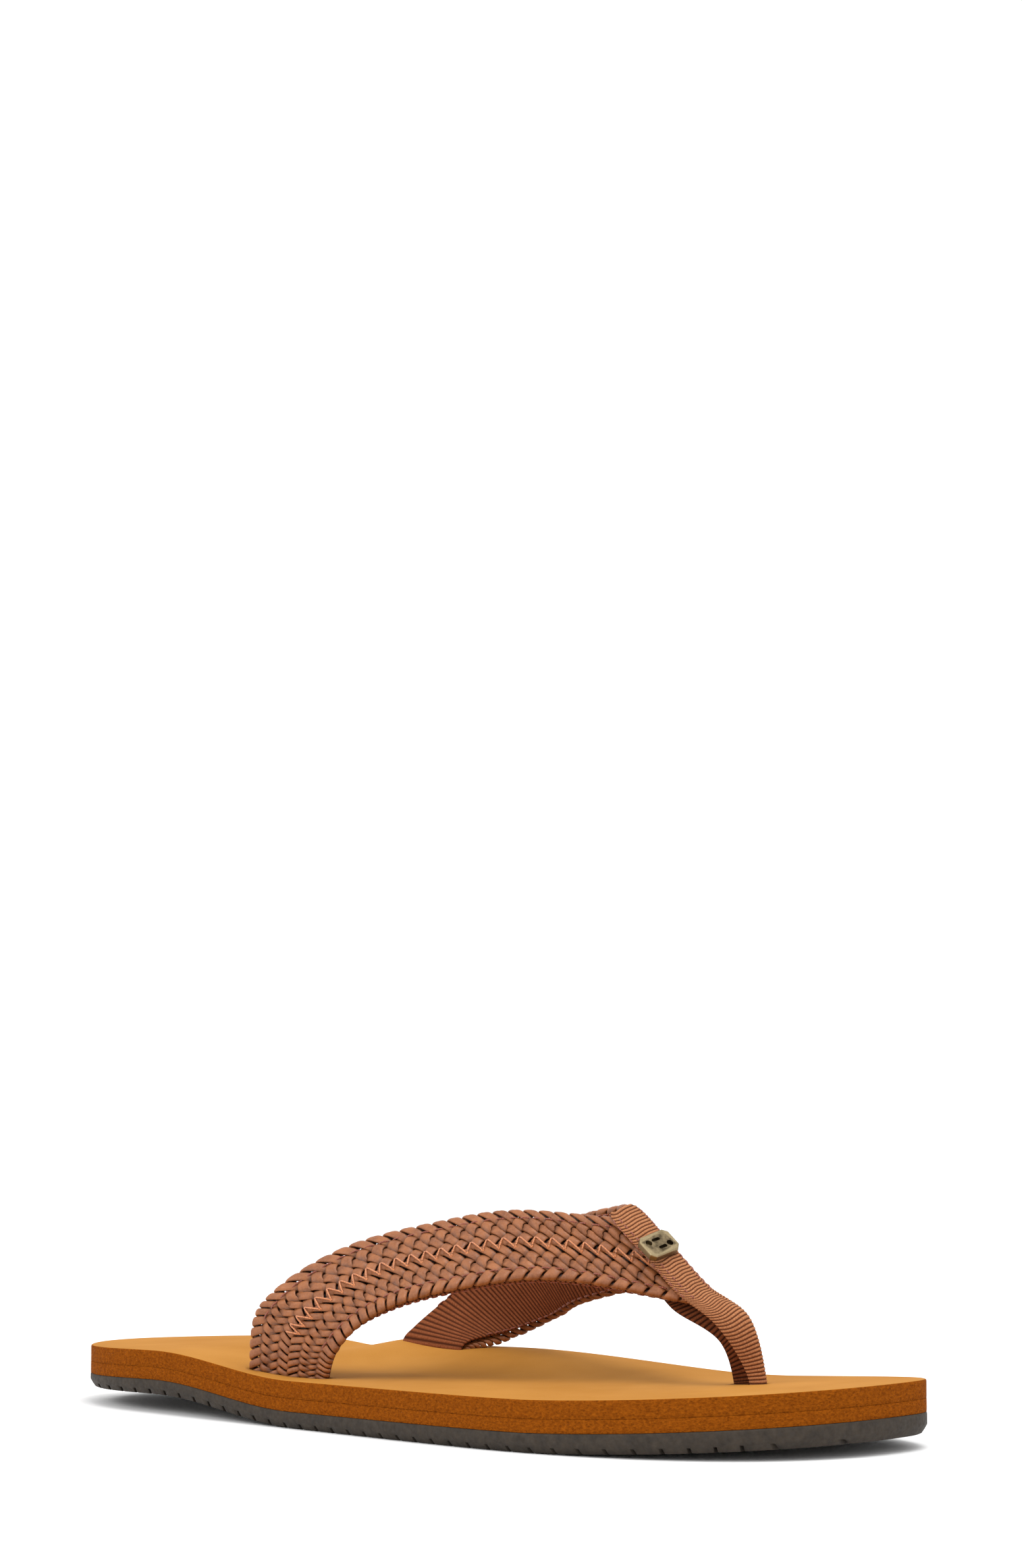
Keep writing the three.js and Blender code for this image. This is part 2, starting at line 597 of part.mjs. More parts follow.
// The slot in the footbed for the thong.
function thongSlot() {
  const middle = place(THONG_AT, -THONG_IN, FOOTBED_AT_THONG);
  const reach = BAND_THICK + SLOT_CLEAR;
  return box(middle, [2 * (THONG_HALF + reach), 2 * (THONG_DEPTH + reach), 40]);
}

// ---- Materials and the assembly -------------------------------------------------------------------
const material = (color, roughness, metalness = 0) =>
  new THREE.MeshStandardMaterial({ color, roughness, metalness });
const rubber = material(0x55534a, 0.8);
const sidewallFoam = material(0xa8651c, 0.9);
const footbedFoam = material(0xc08a3e, 0.85);
const leather = material(0x9b6648, 0.55);
const webbing = material(0x8a5540, 0.9);
const liningCloth = material(0x6f4536, 0.9);
const thread = material(0xc07a50, 0.8);
const patchCloth = material(0x8c8474, 0.9);
const brass = material(0x7d7258, 0.4, 0.9);

const flipFlop = new THREE.Group();
function add(name, geometry, look) {
  const mesh = new THREE.Mesh(geometry, look);
  mesh.name = name;
  flipFlop.add(mesh);
}

const straps = [outerStrap, innerStrap];
const slots = [...straps.map(strapSlot), thongSlot()];
const aboveGlue = (height) => (along, out) => height(along, out) + GLUE_LINE;

add("outsole", cut(layer(underside, outsoleTop, RIM_BEVEL), grooves()), rubber);
add("midsole", cut(layer(aboveGlue(outsoleTop), midsoleTop, 0), anchors.map(anchorPocket)), sidewallFoam);
add("footbed", cut(layer(aboveGlue(midsoleTop), footbedTop, 0), slots), footbedFoam);
for (const anchor of anchors) add(anchor.name, anchorBody(anchor), patchCloth);

const halfGap = shareOfWidth(PLAIT_GAP) / 2;
const seam = shareOfWidth(EDGE_SEAM_INSET);
for (const strap of straps) {
  const rearHalf = strap.side < 0 ? [0, 0.5 - halfGap] : [0.5 + halfGap, 1];
  const frontHalf = strap.side < 0 ? [0.5 + halfGap, 1] : [0, 0.5 - halfGap];
  const [rearSeam, frontSeam] = strap.side < 0 ? [seam, 1 - seam] : [1 - seam, seam];
  add(`${strap.name}_rear_plait`, plait(strap, ...rearHalf), leather);
  add(`${strap.name}_front_plait`, plait(strap, ...frontHalf), leather);
  add(`${strap.name}_lining`, lining(strap), liningCloth);
  add(`${strap.name}_zigzag_thread`, zigzagThread(strap), thread);
  add(`${strap.name}_rear_thread`, edgeThread(strap, rearSeam), thread);
  add(`${strap.name}_front_thread`, edgeThread(strap, frontSeam), thread);
}

add("thong_band", cut(bandSheet(28, 8, [0, 1], [0, 1], 0, BAND_THICK), postHoles), webbing);
add("thong_inner_ribbon", innerRibbon(), webbing);
add("band_outer_thread", bandThread(BAND_SEAM), thread);
add("band_inner_thread", bandThread(1 - BAND_SEAM), thread);
add("badge", badge(), brass);
add("badge_washer", washer(), brass);

export default flipFlop;
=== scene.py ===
"""Flip flop for the right foot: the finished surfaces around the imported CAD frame.

Shapes are worked out in millimetres, along the sole from the back of the heel, outwards from
the heel's middle line, and up from the ground, and are turned to metres when a mesh is made.
"""
import math

import bpy
import bmesh
import numpy as np
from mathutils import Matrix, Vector


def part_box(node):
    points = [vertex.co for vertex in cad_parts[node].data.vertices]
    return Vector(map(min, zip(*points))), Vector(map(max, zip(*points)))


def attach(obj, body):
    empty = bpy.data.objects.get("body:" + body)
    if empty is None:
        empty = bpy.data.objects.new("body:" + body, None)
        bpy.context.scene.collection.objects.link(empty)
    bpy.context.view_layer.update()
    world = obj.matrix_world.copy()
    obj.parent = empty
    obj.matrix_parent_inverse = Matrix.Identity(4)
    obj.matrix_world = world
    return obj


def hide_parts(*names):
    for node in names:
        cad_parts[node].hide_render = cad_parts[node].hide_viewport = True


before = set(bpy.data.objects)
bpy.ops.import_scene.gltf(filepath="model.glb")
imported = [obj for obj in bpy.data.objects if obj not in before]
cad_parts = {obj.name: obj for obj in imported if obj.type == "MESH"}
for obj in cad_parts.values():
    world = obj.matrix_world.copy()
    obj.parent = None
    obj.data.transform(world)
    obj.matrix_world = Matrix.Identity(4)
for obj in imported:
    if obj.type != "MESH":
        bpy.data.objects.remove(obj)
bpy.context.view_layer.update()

MM = 0.001
ROOT = "root"

# ---- Driving sizes, as in the CAD model (millimetres) -------------------------------------------
SOLE_LENGTH = 290
HEEL_AT, HEEL_OUT, HEEL_IN = 50, 37.2, 37.4
WAIST_AT, WAIST_IN = 93, 36.6
BALL_OUT_AT, BALL_OUT = SOLE_LENGTH - 93, 51.3
BALL_IN_AT, BALL_IN = SOLE_LENGTH - 68.5, 50.7
TOE_TIP_IN = 19.5
OUTSOLE_HEEL, OUTSOLE_TOE = 4.2, 5.8
MIDSOLE, FOOTBED, GLUE_LINE = 3.4, 4.9, 0.3
HEEL_LIFT, ARCH_LIFT, ARCH_LIFT_AT = 4.6, 5.6, 55
FLAT_FROM, FLAT_TO = 118, SOLE_LENGTH - 82
TOE_LIFT = 4.1
ARCH_RISE, ARCH_STARTS, ARCH_TOP_FROM, ARCH_TOP_TO, ARCH_ENDS = 5.4, 76, 99, 135, 232
STRAP_WIDTH = 28
OUTER_SLOT_AT, INNER_SLOT_AT = 108, 110
TAIL_CLEAR = 1.2
THONG_AT, THONG_IN = SOLE_LENGTH - 50.5, 14.5
THONG_DEPTH, THONG_HALF = 4, 2.7
APEX_REAR_BACK, APEX_FRONT_BACK = 42.8, 16.3
APEX_REAR_HEIGHT, APEX_FRONT_HEIGHT = 44.6, 21
INNER_APEX_RAISE = 1
APEX_OUT, APEX_IN = 2.4, 1.2
ROUND = 0.56


# ---- Small helpers ------------------------------------------------------------------------------
def mix(a, b, t):
    return a + (b - a) * t


def smooth(x, start, end):
    t = np.clip((np.asarray(x, float) - start) / (end - start), 0, 1)
    return t * t * (3 - 2 * t)


def place(along, out, up):
    along, out, up = np.broadcast_arrays(along, out, up)
    return np.stack([-out, SOLE_LENGTH / 2 - along, up], -1).astype(float)


def unit(v):
    return v / np.maximum(np.linalg.norm(v, axis=-1, keepdims=True), 1e-12)


class Spline:
    """A centripetal Catmull-Rom curve through its points; at(t) takes t from 0 to 1."""

    def __init__(self, points):
        p = np.asarray(points, float)
        self.p = np.vstack([2 * p[0] - p[1], p, 2 * p[-1] - p[-2]])
        self.count = len(p)

    def at(self, t):
        spot = np.clip(np.asarray(t, float), 0, 1) * (self.count - 1)
        k = np.minimum(spot.astype(int), self.count - 2)
        w = (spot - k)[..., None]
        x0, x1, x2, x3 = (self.p[k + n] for n in range(4))
        d0, d1, d2 = (
            np.maximum(np.linalg.norm(b - a, axis=-1, keepdims=True), 1e-6) ** 0.5
            for a, b in ((x0, x1), (x1, x2), (x2, x3))
        )
        t1 = ((x1 - x0) / d0 - (x2 - x0) / (d0 + d1) + (x2 - x1) / d1) * d1
        t2 = ((x2 - x1) / d1 - (x3 - x1) / (d1 + d2) + (x3 - x2) / d2) * d1
        c2 = -3 * x1 + 3 * x2 - 2 * t1 - t2
        c3 = 2 * x1 - 2 * x2 + t1 + t2
        return x1 + t1 * w + c2 * w**2 + c3 * w**3


def finish_mesh(name, points, faces, look, nodes, attributes=None, smooth_faces=True):
    """A mesh object from points in millimetres, riding on the shoe and standing for CAD nodes."""
    mesh = bpy.data.meshes.new(name)
    mesh.from_pydata((np.asarray(points) * MM).tolist(), [], faces)
    for key, values in (attributes or {}).items():
        layer = mesh.attributes.new(key, "FLOAT", "POINT")
        layer.data.foreach_set("value", np.asarray(values, np.float32).ravel())
    work = bmesh.new()
    work.from_mesh(mesh)
    bmesh.ops.remove_doubles(work, verts=work.verts, dist=1e-6)
    bmesh.ops.dissolve_degenerate(work, edges=work.edges, dist=1e-7)
    bmesh.ops.recalc_face_normals(work, faces=work.faces)
    work.to_mesh(mesh)
    work.free()
    if smooth_faces:
        mesh.polygons.foreach_set("use_smooth", [True] * len(mesh.polygons))
    obj = bpy.data.objects.new(name, mesh)
    bpy.context.scene.collection.objects.link(obj)
    mesh.materials.append(look)
    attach(obj, ROOT)
    if nodes:
        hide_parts(*nodes)
    return obj


def loop_faces(rings, size, closed_ends):
    """Quads between rings of size points each, with a cap on both ends where asked."""
    faces = []
    for i in range(rings - 1):
        for j in range(size):
            k = (j + 1) % size
            faces.append((i * size + j, i * size + k, (i + 1) * size + k, (i + 1) * size + j))
    if closed_ends:
        faces.append(tuple(range(size))[::-1])
        faces.append(tuple((rings - 1) * size + j for j in range(size)))
    return faces


def add_loops(name, rings, look, nodes, attributes=None):
    count, size = rings.shape[:2]
    faces = loop_faces(count, size, True)
    return finish_mesh(name, rings.reshape(-1, 3), faces, look, nodes, attributes)


def tube_rings(path, radius, sides):
    """Rings of a round thread along a path of points."""
    tangent = unit(np.gradient(path, axis=0))
    side = unit(np.cross(tangent, np.where(np.abs(tangent[:, 2:]) > 0.9, [1.0, 0, 0], [0, 0, 1.0])))
    up = np.cross(side, tangent)
    turn = np.linspace(0, 2 * math.pi, sides, endpoint=False)
    ring = np.cos(turn)[None, :, None] * side[:, None] + np.sin(turn)[None, :, None] * up[:, None]
    return path[:, None] + ring * np.asarray(radius)[..., None, None]


def add_tubes(name, paths, radius, look, nodes, sides=6):
    points, faces, run, base = [], [], [], 0
    for path in paths:
        taper = np.ones(len(path))
        taper[[0, -1]] = 0.35
        rings = tube_rings(path, radius * taper, sides)
        points.append(rings.reshape(-1, 3))
        faces += [tuple(base + v for v in face) for face in loop_faces(len(path), sides, True)]
        length = np.r_[0, np.cumsum(np.linalg.norm(np.diff(path, axis=0), axis=1))]
        run.append(np.repeat(length, sides))
        base += len(path) * sides
    return finish_mesh(
        name, np.vstack(points), faces, look, nodes, {"run": np.concatenate(run)}
    )


# ---- Materials ----------------------------------------------------------------------------------
class Look:
    """A node material built step by step around one Principled shader."""

    def __init__(self, name, **inputs):
        self.material = bpy.data.materials.new(name)
        self.material.use_nodes = True
        self.tree = self.material.node_tree
        self.shader = self.tree.nodes["Principled BSDF"]
        for key, value in inputs.items():
            self.shader.inputs[key.replace("_", " ")].default_value = value
        self.spot = self.tree.nodes.new("ShaderNodeTexCoord").outputs["Object"]

    def node(self, kind, **inputs):
        made = self.tree.nodes.new("ShaderNode" + kind)
        for key, value in inputs.items():
            self.put(made.inputs[key.replace("_", " ")], value)
        return made

    def put(self, socket, value):
        if isinstance(value, bpy.types.NodeSocket):
            self.tree.links.new(value, socket)
        else:
            socket.default_value = value

    def noise(self, scale, detail=3.0, rough=0.55, spot=None):
        made = self.node("TexNoise", Scale=scale, Detail=detail, Roughness=rough)
        self.put(made.inputs["Vector"], spot or self.spot)
        return made.outputs["Fac"]

    def cells(self, scale, spot=None):
        made = self.node("TexVoronoi", Scale=scale)
        self.put(made.inputs["Vector"], spot or self.spot)
        return made.outputs["Distance"]

    def attribute(self, name):
        made = self.node("Attribute")
        made.attribute_name = name
        return made.outputs["Fac"]

    def ramp(self, value, low, high, to_low=0.0, to_high=1.0):
        made = self.node("MapRange", Value=value)
        for key, number in (("From Min", low), ("From Max", high),
                            ("To Min", to_low), ("To Max", to_high)):
            made.inputs[key].default_value = number
        return made.outputs["Result"]

    def blend(self, share, first, second, mode="MIX"):
        made = self.tree.nodes.new("ShaderNodeMix")
        made.data_type = "RGBA"
        made.blend_type = mode
        self.put(made.inputs[0], share)
        self.put(made.inputs[6], first)
        self.put(made.inputs[7], second)
        return made.outputs[2]

    def maths(self, operation, first, second=0.0):
        made = self.tree.nodes.new("ShaderNodeMath")
        made.operation = operation
        self.put(made.inputs[0], first)
        self.put(made.inputs[1], second)
        return made.outputs[0]

    def colour(self, value):
        self.put(self.shader.inputs["Base Color"], value)

    def rough(self, value):
        self.put(self.shader.inputs["Roughness"], value)

    def bump(self, height, depth, strength=1.0):
        """Adds a bump of that depth in metres over any that is there already."""
        made = self.node("Bump", Strength=strength, Distance=depth, Height=height)
        before = self.shader.inputs["Normal"].links
        if before:
            self.put(made.inputs["Normal"], before[0].from_socket)
        self.put(self.shader.inputs["Normal"], made.outputs["Normal"])


def rgb(red, green, blue):
    """A colour given as the eye reads it, from 0 to 255, as the shader's linear values."""
    def linear(value):
        share = value / 255
        return share / 12.92 if share <= 0.04045 else ((share + 0.055) / 1.055) ** 2.4
    return (linear(red), linear(green), linear(blue), 1.0)


def leather_look():
    look = Look("plait_leather", Roughness=0.45)
    look.shader.inputs["Specular IOR Level"].default_value = 0.42
    patches = look.ramp(look.noise(260, 4), 0.3, 0.7)
    streaks = look.ramp(look.noise(1900, 3, 0.6), 0.35, 0.7)
    body = look.blend(patches, rgb(112, 62, 30), rgb(152, 91, 48))
    body = look.blend(look.maths("MULTIPLY", streaks, 0.35), body, rgb(166, 108, 70))
    # Painted shade: the lift attribute darkens the leather to near black where a strand dips under the
    # others and in the crevices between strands.
    lift = look.ramp(look.attribute("lift"), 0.2, 0.85)
    look.colour(look.blend(lift, rgb(38, 16, 8), body))
    look.rough(look.ramp(look.noise(700), 0.3, 0.7, 0.36, 0.56))
    look.bump(look.noise(2600, 3, 0.6), 0.00009, 0.7)
    look.bump(look.cells(3200), 0.00005, 0.5)
    return look.material


def webbing_look(name, dark, light, painted_valley_shade):
    look = Look(name, Roughness=0.88)
    look.shader.inputs["Specular IOR Level"].default_value = 0.05
    fibres = look.ramp(look.noise(2200, 4, 0.65), 0.3, 0.7)
    body = look.blend(fibres, dark, light)
    worn = look.ramp(look.noise(160, 3), 0.4, 0.75, 0.0, 0.35)
    body = look.blend(worn, body, light)
    # Painted shade: between the ribs the colour darkens towards the last colour given.
    look.colour(look.blend(look.ramp(look.attribute("rib"), 0.1, 0.7), painted_valley_shade, body))
    look.bump(look.noise(3500, 2, 0.6), 0.00012, 0.8)
    yarn = look.maths("SINE", look.maths("MULTIPLY", look.attribute("across"), 15.0))
    look.bump(yarn, 0.00006, 0.6)
    return look.material


def thread_look(name, dark, light):
    look = Look(name, Roughness=0.6)
    look.shader.inputs["Sheen Weight"].default_value = 0.3
    look.colour(look.blend(look.ramp(look.noise(3000, 3), 0.35, 0.65), dark, light))
    twist = look.maths("SINE", look.maths("MULTIPLY", look.attribute("run"), 9.0))
    look.bump(twist, 0.00008, 0.8)
    return look.material


def sidewall_look():
    look = Look("sidewall_foam", Roughness=0.93)
    look.shader.inputs["Specular IOR Level"].default_value = 0.03
    squeezed = look.node("Mapping", Vector=look.spot, Scale=(1.0, 1.0, 1.8)).outputs["Vector"]
    grain = look.noise(900, 5, 0.7, squeezed)
    cells = look.cells(1100, squeezed)
    body = look.blend(look.ramp(grain, 0.3, 0.7), rgb(106, 50, 5), rgb(150, 80, 14))
    # Painted shade: the pits of the foam, where the cells bump lowest, are darkened.
    look.colour(look.blend(look.ramp(cells, 0.0, 0.6, 0.35, 0.0), body, rgb(70, 30, 3)))
    look.bump(cells, 0.00045, 0.8)
    look.bump(grain, 0.0003, 0.8)
    return look.material


def footbed_look():
    look = Look("footbed_foam", Roughness=0.9)
    look.shader.inputs["Specular IOR Level"].default_value = 0.12
    cloud = look.ramp(look.noise(35, 3), 0.3, 0.7)
    body = look.blend(cloud, rgb(170, 114, 42), rgb(181, 125, 53))
    specks = look.ramp(look.noise(2400, 3, 0.7), 0.55, 0.75)
    look.colour(look.blend(look.maths("MULTIPLY", specks, 0.3), body, rgb(142, 86, 24)))
    look.bump(look.noise(1800, 4, 0.6), 0.00006, 0.6)
    look.bump(look.noise(60, 2), 0.0003, 0.25)
    return look.material


def rubber_look():
    look = Look("outsole_rubber", Roughness=0.75)
    look.shader.inputs["Specular IOR Level"].default_value = 0.35
    cloud = look.ramp(look.noise(400, 4), 0.3, 0.7)
    look.colour(look.blend(cloud, rgb(38, 31, 24), rgb(55, 46, 36)))
    look.rough(look.ramp(look.noise(900), 0.3, 0.7, 0.62, 0.85))
    look.bump(look.noise(1500, 3), 0.00012, 0.6)
    return look.material


def brass_look():
    look = Look("badge_brass", Metallic=0.95, Roughness=0.38)
    patina = look.ramp(look.noise(500, 5, 0.65), 0.35, 0.65)
    worn = look.ramp(look.attribute("edge"), 0.2, 0.9)
    body = look.blend(patina, rgb(62, 52, 36), rgb(112, 98, 74))
    look.colour(look.blend(worn, body, rgb(150, 134, 102)))
    look.rough(look.ramp(look.noise(900), 0.3, 0.7, 0.3, 0.55))
    look.bump(look.noise(1400, 3), 0.00006, 0.7)
    return look.material


def cloth_look():
    look = Look("anchor_cloth", Roughness=0.9)
    look.colour(look.blend(look.noise(1500, 3), rgb(120, 112, 96), rgb(150, 142, 124)))
    look.bump(look.cells(1500), 0.0001)
    return look.material


LEATHER = leather_look()
# The last colour of each webbing is the painted shade in its rib valleys.
BAND_CLOTH = webbing_look("band_webbing", rgb(146, 90, 58), rgb(192, 134, 94), rgb(76, 40, 23))
RIBBON_CLOTH = webbing_look("ribbon_webbing", rgb(84, 42, 22), rgb(122, 68, 40), rgb(38, 16, 8))
LINING_CLOTH = webbing_look("lining_webbing", rgb(112, 60, 34), rgb(150, 88, 56), rgb(70, 34, 18))
SEAM_THREAD = thread_look("seam_thread", rgb(110, 48, 28), rgb(150, 72, 42))
ZIGZAG_THREAD = thread_look("zigzag_thread", rgb(178, 100, 52), rgb(214, 138, 84))
SIDEWALL = sidewall_look()
FOOTBED_TOP = footbed_look()
RUBBER = rubber_look()
BRASS = brass_look()
ANCHOR_CLOTH = cloth_look()


# ---- The sole -----------------------------------------------------------------------------------
def bezier_side(pieces):
    t = np.linspace(0, 1, 60)[:, None]
    points = [
        (1 - t) ** 3 * a + 3 * (1 - t) ** 2 * t * b + 3 * (1 - t) * t**2 * c + t**3 * d
        for a, b, c, d in (map(np.array, piece) for piece in pieces)
    ]
    return np.vstack(points)


OUTER_SIDE = bezier_side([
    [(0, 0), (0, ROUND * HEEL_OUT), (HEEL_AT * (1 - ROUND), HEEL_OUT - 2), (HEEL_AT, HEEL_OUT)],
    [
        (HEEL_AT, HEEL_OUT),
        (HEEL_AT + 31, HEEL_OUT + 3),
        (BALL_OUT_AT - 27, BALL_OUT),
        (BALL_OUT_AT, BALL_OUT),
    ],
    [
        (BALL_OUT_AT, BALL_OUT),
        (mix(BALL_OUT_AT, SOLE_LENGTH, 0.47), BALL_OUT),
        (SOLE_LENGTH, mix(-TOE_TIP_IN, BALL_OUT, 0.76)),
        (SOLE_LENGTH, -TOE_TIP_IN),
    ],
])
INNER_SIDE = bezier_side([
    [(0, 0), (0, -ROUND * HEEL_IN), (HEEL_AT * (1 - ROUND), -HEEL_IN), (HEEL_AT, -HEEL_IN)],
    [(HEEL_AT, -HEEL_IN), (HEEL_AT + 15, -HEEL_IN), (WAIST_AT - 15, -WAIST_IN), (WAIST_AT, -WAIST_IN)],
    [
        (WAIST_AT, -WAIST_IN),
        (WAIST_AT + 23, -WAIST_IN),
        (BALL_IN_AT - 20, -BALL_IN),
        (BALL_IN_AT, -BALL_IN),
    ],
    [
        (BALL_IN_AT, -BALL_IN),
        (mix(BALL_IN_AT, SOLE_LENGTH, 0.5), -BALL_IN),
        (SOLE_LENGTH, -mix(TOE_TIP_IN, BALL_IN, 0.74)),
        (SOLE_LENGTH, -TOE_TIP_IN),
    ],
])


def outer_edge(along):
    return np.interp(along, OUTER_SIDE[:, 0], OUTER_SIDE[:, 1])


def inner_edge(along):
    return np.interp(along, INNER_SIDE[:, 0], INNER_SIDE[:, 1])


def underside(along):
    toe = np.maximum(0, along - FLAT_TO) / (SOLE_LENGTH - FLAT_TO)
    heel = mix(HEEL_LIFT, ARCH_LIFT, smooth(along, 0, ARCH_LIFT_AT))
    return heel * (1 - smooth(along, ARCH_LIFT_AT, FLAT_FROM)) + TOE_LIFT * toe**1.4


def outsole_top(along, out=0):
    return underside(along) + mix(OUTSOLE_HEEL, OUTSOLE_TOE, along / SOLE_LENGTH)


def midsole_top(along, out):
    length = smooth(along, ARCH_STARTS, ARCH_TOP_FROM) * (1 - smooth(along, ARCH_TOP_TO, ARCH_ENDS))
    rise = ARCH_RISE * length * smooth(-np.asarray(out), -5, WAIST_IN)
    return outsole_top(along) + GLUE_LINE + MIDSOLE + rise


def footbed_top(along, out):
    return midsole_top(along, out) + GLUE_LINE + FOOTBED


STATIONS = 150
TOP_RINGS = 12


def outline_loop():
    """The sole's outline as stations up the outer side and back down the inner one."""
    spot = SOLE_LENGTH * (1 - np.cos(np.linspace(0, math.pi, STATIONS + 1))) / 2
    outer = np.stack([spot, outer_edge(spot)], 1)
    inner = np.stack([spot, inner_edge(spot)], 1)[-2:0:-1]
    loop = np.vstack([outer, inner])
    run = np.roll(loop, -1, 0) - np.roll(loop, 1, 0)
    inward = unit(np.stack([run[:, 1], -run[:, 0]], 1))
    spine_at = np.clip(loop[:, 0], 36, SOLE_LENGTH - 46)
    spine = np.stack([spine_at, (outer_edge(spine_at) + inner_edge(spine_at)) / 2], 1)
    return loop, inward, spine


LOOP, INWARD, SPINE = outline_loop()


def sole_body(name, low, high, wall, look, nodes):
    """A layer between two heights. wall lists the side's rings: how far in, and how far up from
    the lower face (a share of the thickness) with a rise in millimetres added."""
    rings = []

    def flat(inset, height, share):
        spot = LOOP + INWARD * inset
        spot = mix(spot, SPINE, share)
        rings.append(place(spot[:, 0], spot[:, 1], height(spot[:, 0], spot[:, 1])))

    first, last = wall[0][0], wall[-1][0]
    for k in range(TOP_RINGS, 0, -1):
        flat(first, low, (k / TOP_RINGS) ** 1.15)
    for inset, share, rise in wall:
        spot = LOOP + INWARD * inset
        bottom, top = low(spot[:, 0], spot[:, 1]), high(spot[:, 0], spot[:, 1])
        rings.append(place(spot[:, 0], spot[:, 1], mix(bottom, top, share) + rise))
    for k in range(1, TOP_RINGS + 1):
        flat(last, high, (k / TOP_RINGS) ** 1.15)
    points = np.stack(rings)
    faces = loop_faces(len(rings), len(LOOP), False)
    return finish_mesh(name, points.reshape(-1, 3), faces, look, nodes)


def cut_away(obj, cutters):
    """Cuts closed bodies, given as (points, faces), out of an object's mesh."""
    mesh = bpy.data.meshes.new("cutter")
    points, faces, base = [], [], 0
    for body, skin in cutters:
        points.append(np.asarray(body) * MM)
        faces += [tuple(base + v for v in face) for face in skin]
        base += len(body)
    mesh.from_pydata(np.vstack(points).tolist(), [], faces)
    tool = bpy.data.objects.new("cutter", mesh)
    bpy.context.scene.collection.objects.link(tool)
    change = obj.modifiers.new("cut", "BOOLEAN")
    change.operation, change.solver, change.object = "DIFFERENCE", "EXACT", tool
    change.use_self = False
    graph = bpy.context.evaluated_depsgraph_get()
    made = bpy.data.meshes.new_from_object(obj.evaluated_get(graph))
    obj.modifiers.clear()
    old, obj.data = obj.data, made
    made.name = old.name + "_cut"
    bpy.data.meshes.remove(old)
    bpy.data.objects.remove(tool)
    bpy.data.meshes.remove(mesh)
    return obj


def prism(outline, low, high):
    """A closed upright body over an outline of (along, out) points."""
    outline = np.asarray(outline, float)
    count = len(outline)
    points = np.vstack([place(outline[:, 0], outline[:, 1], z) for z in (low, high)])
    faces = [(k, (k + 1) % count, count + (k + 1) % count, count + k) for k in range(count)]
    faces += [tuple(range(count))[::-1], tuple(range(count, 2 * count))]
    return points, faces


GROOVE_PITCH, GROOVE_WIDTH, GROOVE_DEPTH = 7.0, 1.4, 1.6


def tread_grooves():
    """Wavy grooves from side to side, following the tread's height along the sole."""
    made = []
    across = np.linspace(-BALL_IN - 6, BALL_OUT + 6, 41)
    for middle in np.arange(9, SOLE_LENGTH - 6, GROOVE_PITCH):
        wave = middle + 1.9 * np.sin(across / 5.2)
        rings = []
        for back, up in ((-1, -3), (1, -3), (0.7, 1), (-0.7, 1)):
            height = underside(middle) + (GROOVE_DEPTH if up > 0 else up)
            rings.append(place(wave + back * GROOVE_WIDTH / 2, across, height))
        rings = np.stack(rings, 1)
        made.append((rings.reshape(-1, 3), loop_faces(len(across), 4, True)))
    return made


def make_outsole():
    wall = [
        (2.2, 0, 0), (1.5, 0, 0.25), (0.75, 0, 1.3), (0.2, 0, 2.2), (0, 0, 2.6),
        (0, 0.9, 0), (0.12, 1, 0),
    ]
    obj = sole_body("outsole_tread", lambda a, o: underside(a), outsole_top, wall, RUBBER,
                    ["outsole"])
    return cut_away(obj, tread_grooves())


def make_midsole():
    wall = [
        (0.3, 0, -0.25), (0.1, 0, -0.12), (0.06, 0.3, 0), (0.06, 0.8, 0),
        (0.07, 1, 0.0), (0.2, 1, 0.12),
    ]
    obj = sole_body("midsole_foam", lambda a, o: outsole_top(a) + GLUE_LINE, midsole_top, wall,
                    SIDEWALL, ["midsole"])
    return cut_away(obj, [anchor_pocket(spot) for spot in ANCHORS])


def make_footbed():
    wall = [
        (0.2, 0, -0.16), (0.07, 0, -0.06), (0.06, 0.2, 0), (0.05, 0.5, 0), (0.03, 0.9, -0.2),
        (0.1, 1, -0.28), (0.3, 1, -0.1), (0.65, 1, -0.01), (1.2, 1, 0),
    ]
    low = lambda a, o: midsole_top(a, o) + GLUE_LINE
    obj = sole_body("footbed_foam", low, footbed_top, wall, SIDEWALL, ["footbed"])
    obj = cut_away(obj, [strap_slot(OUTER), strap_slot(INNER), thong_slot()])
    obj.data.materials.append(FOOTBED_TOP)
    for face in obj.data.polygons:
        if face.normal.z > 0.8:
            face.material_index = 1
    return obj


# ---- The straps ---------------------------------------------------------------------------------
FOOTBED_AT_THONG = float(footbed_top(THONG_AT, -THONG_IN))


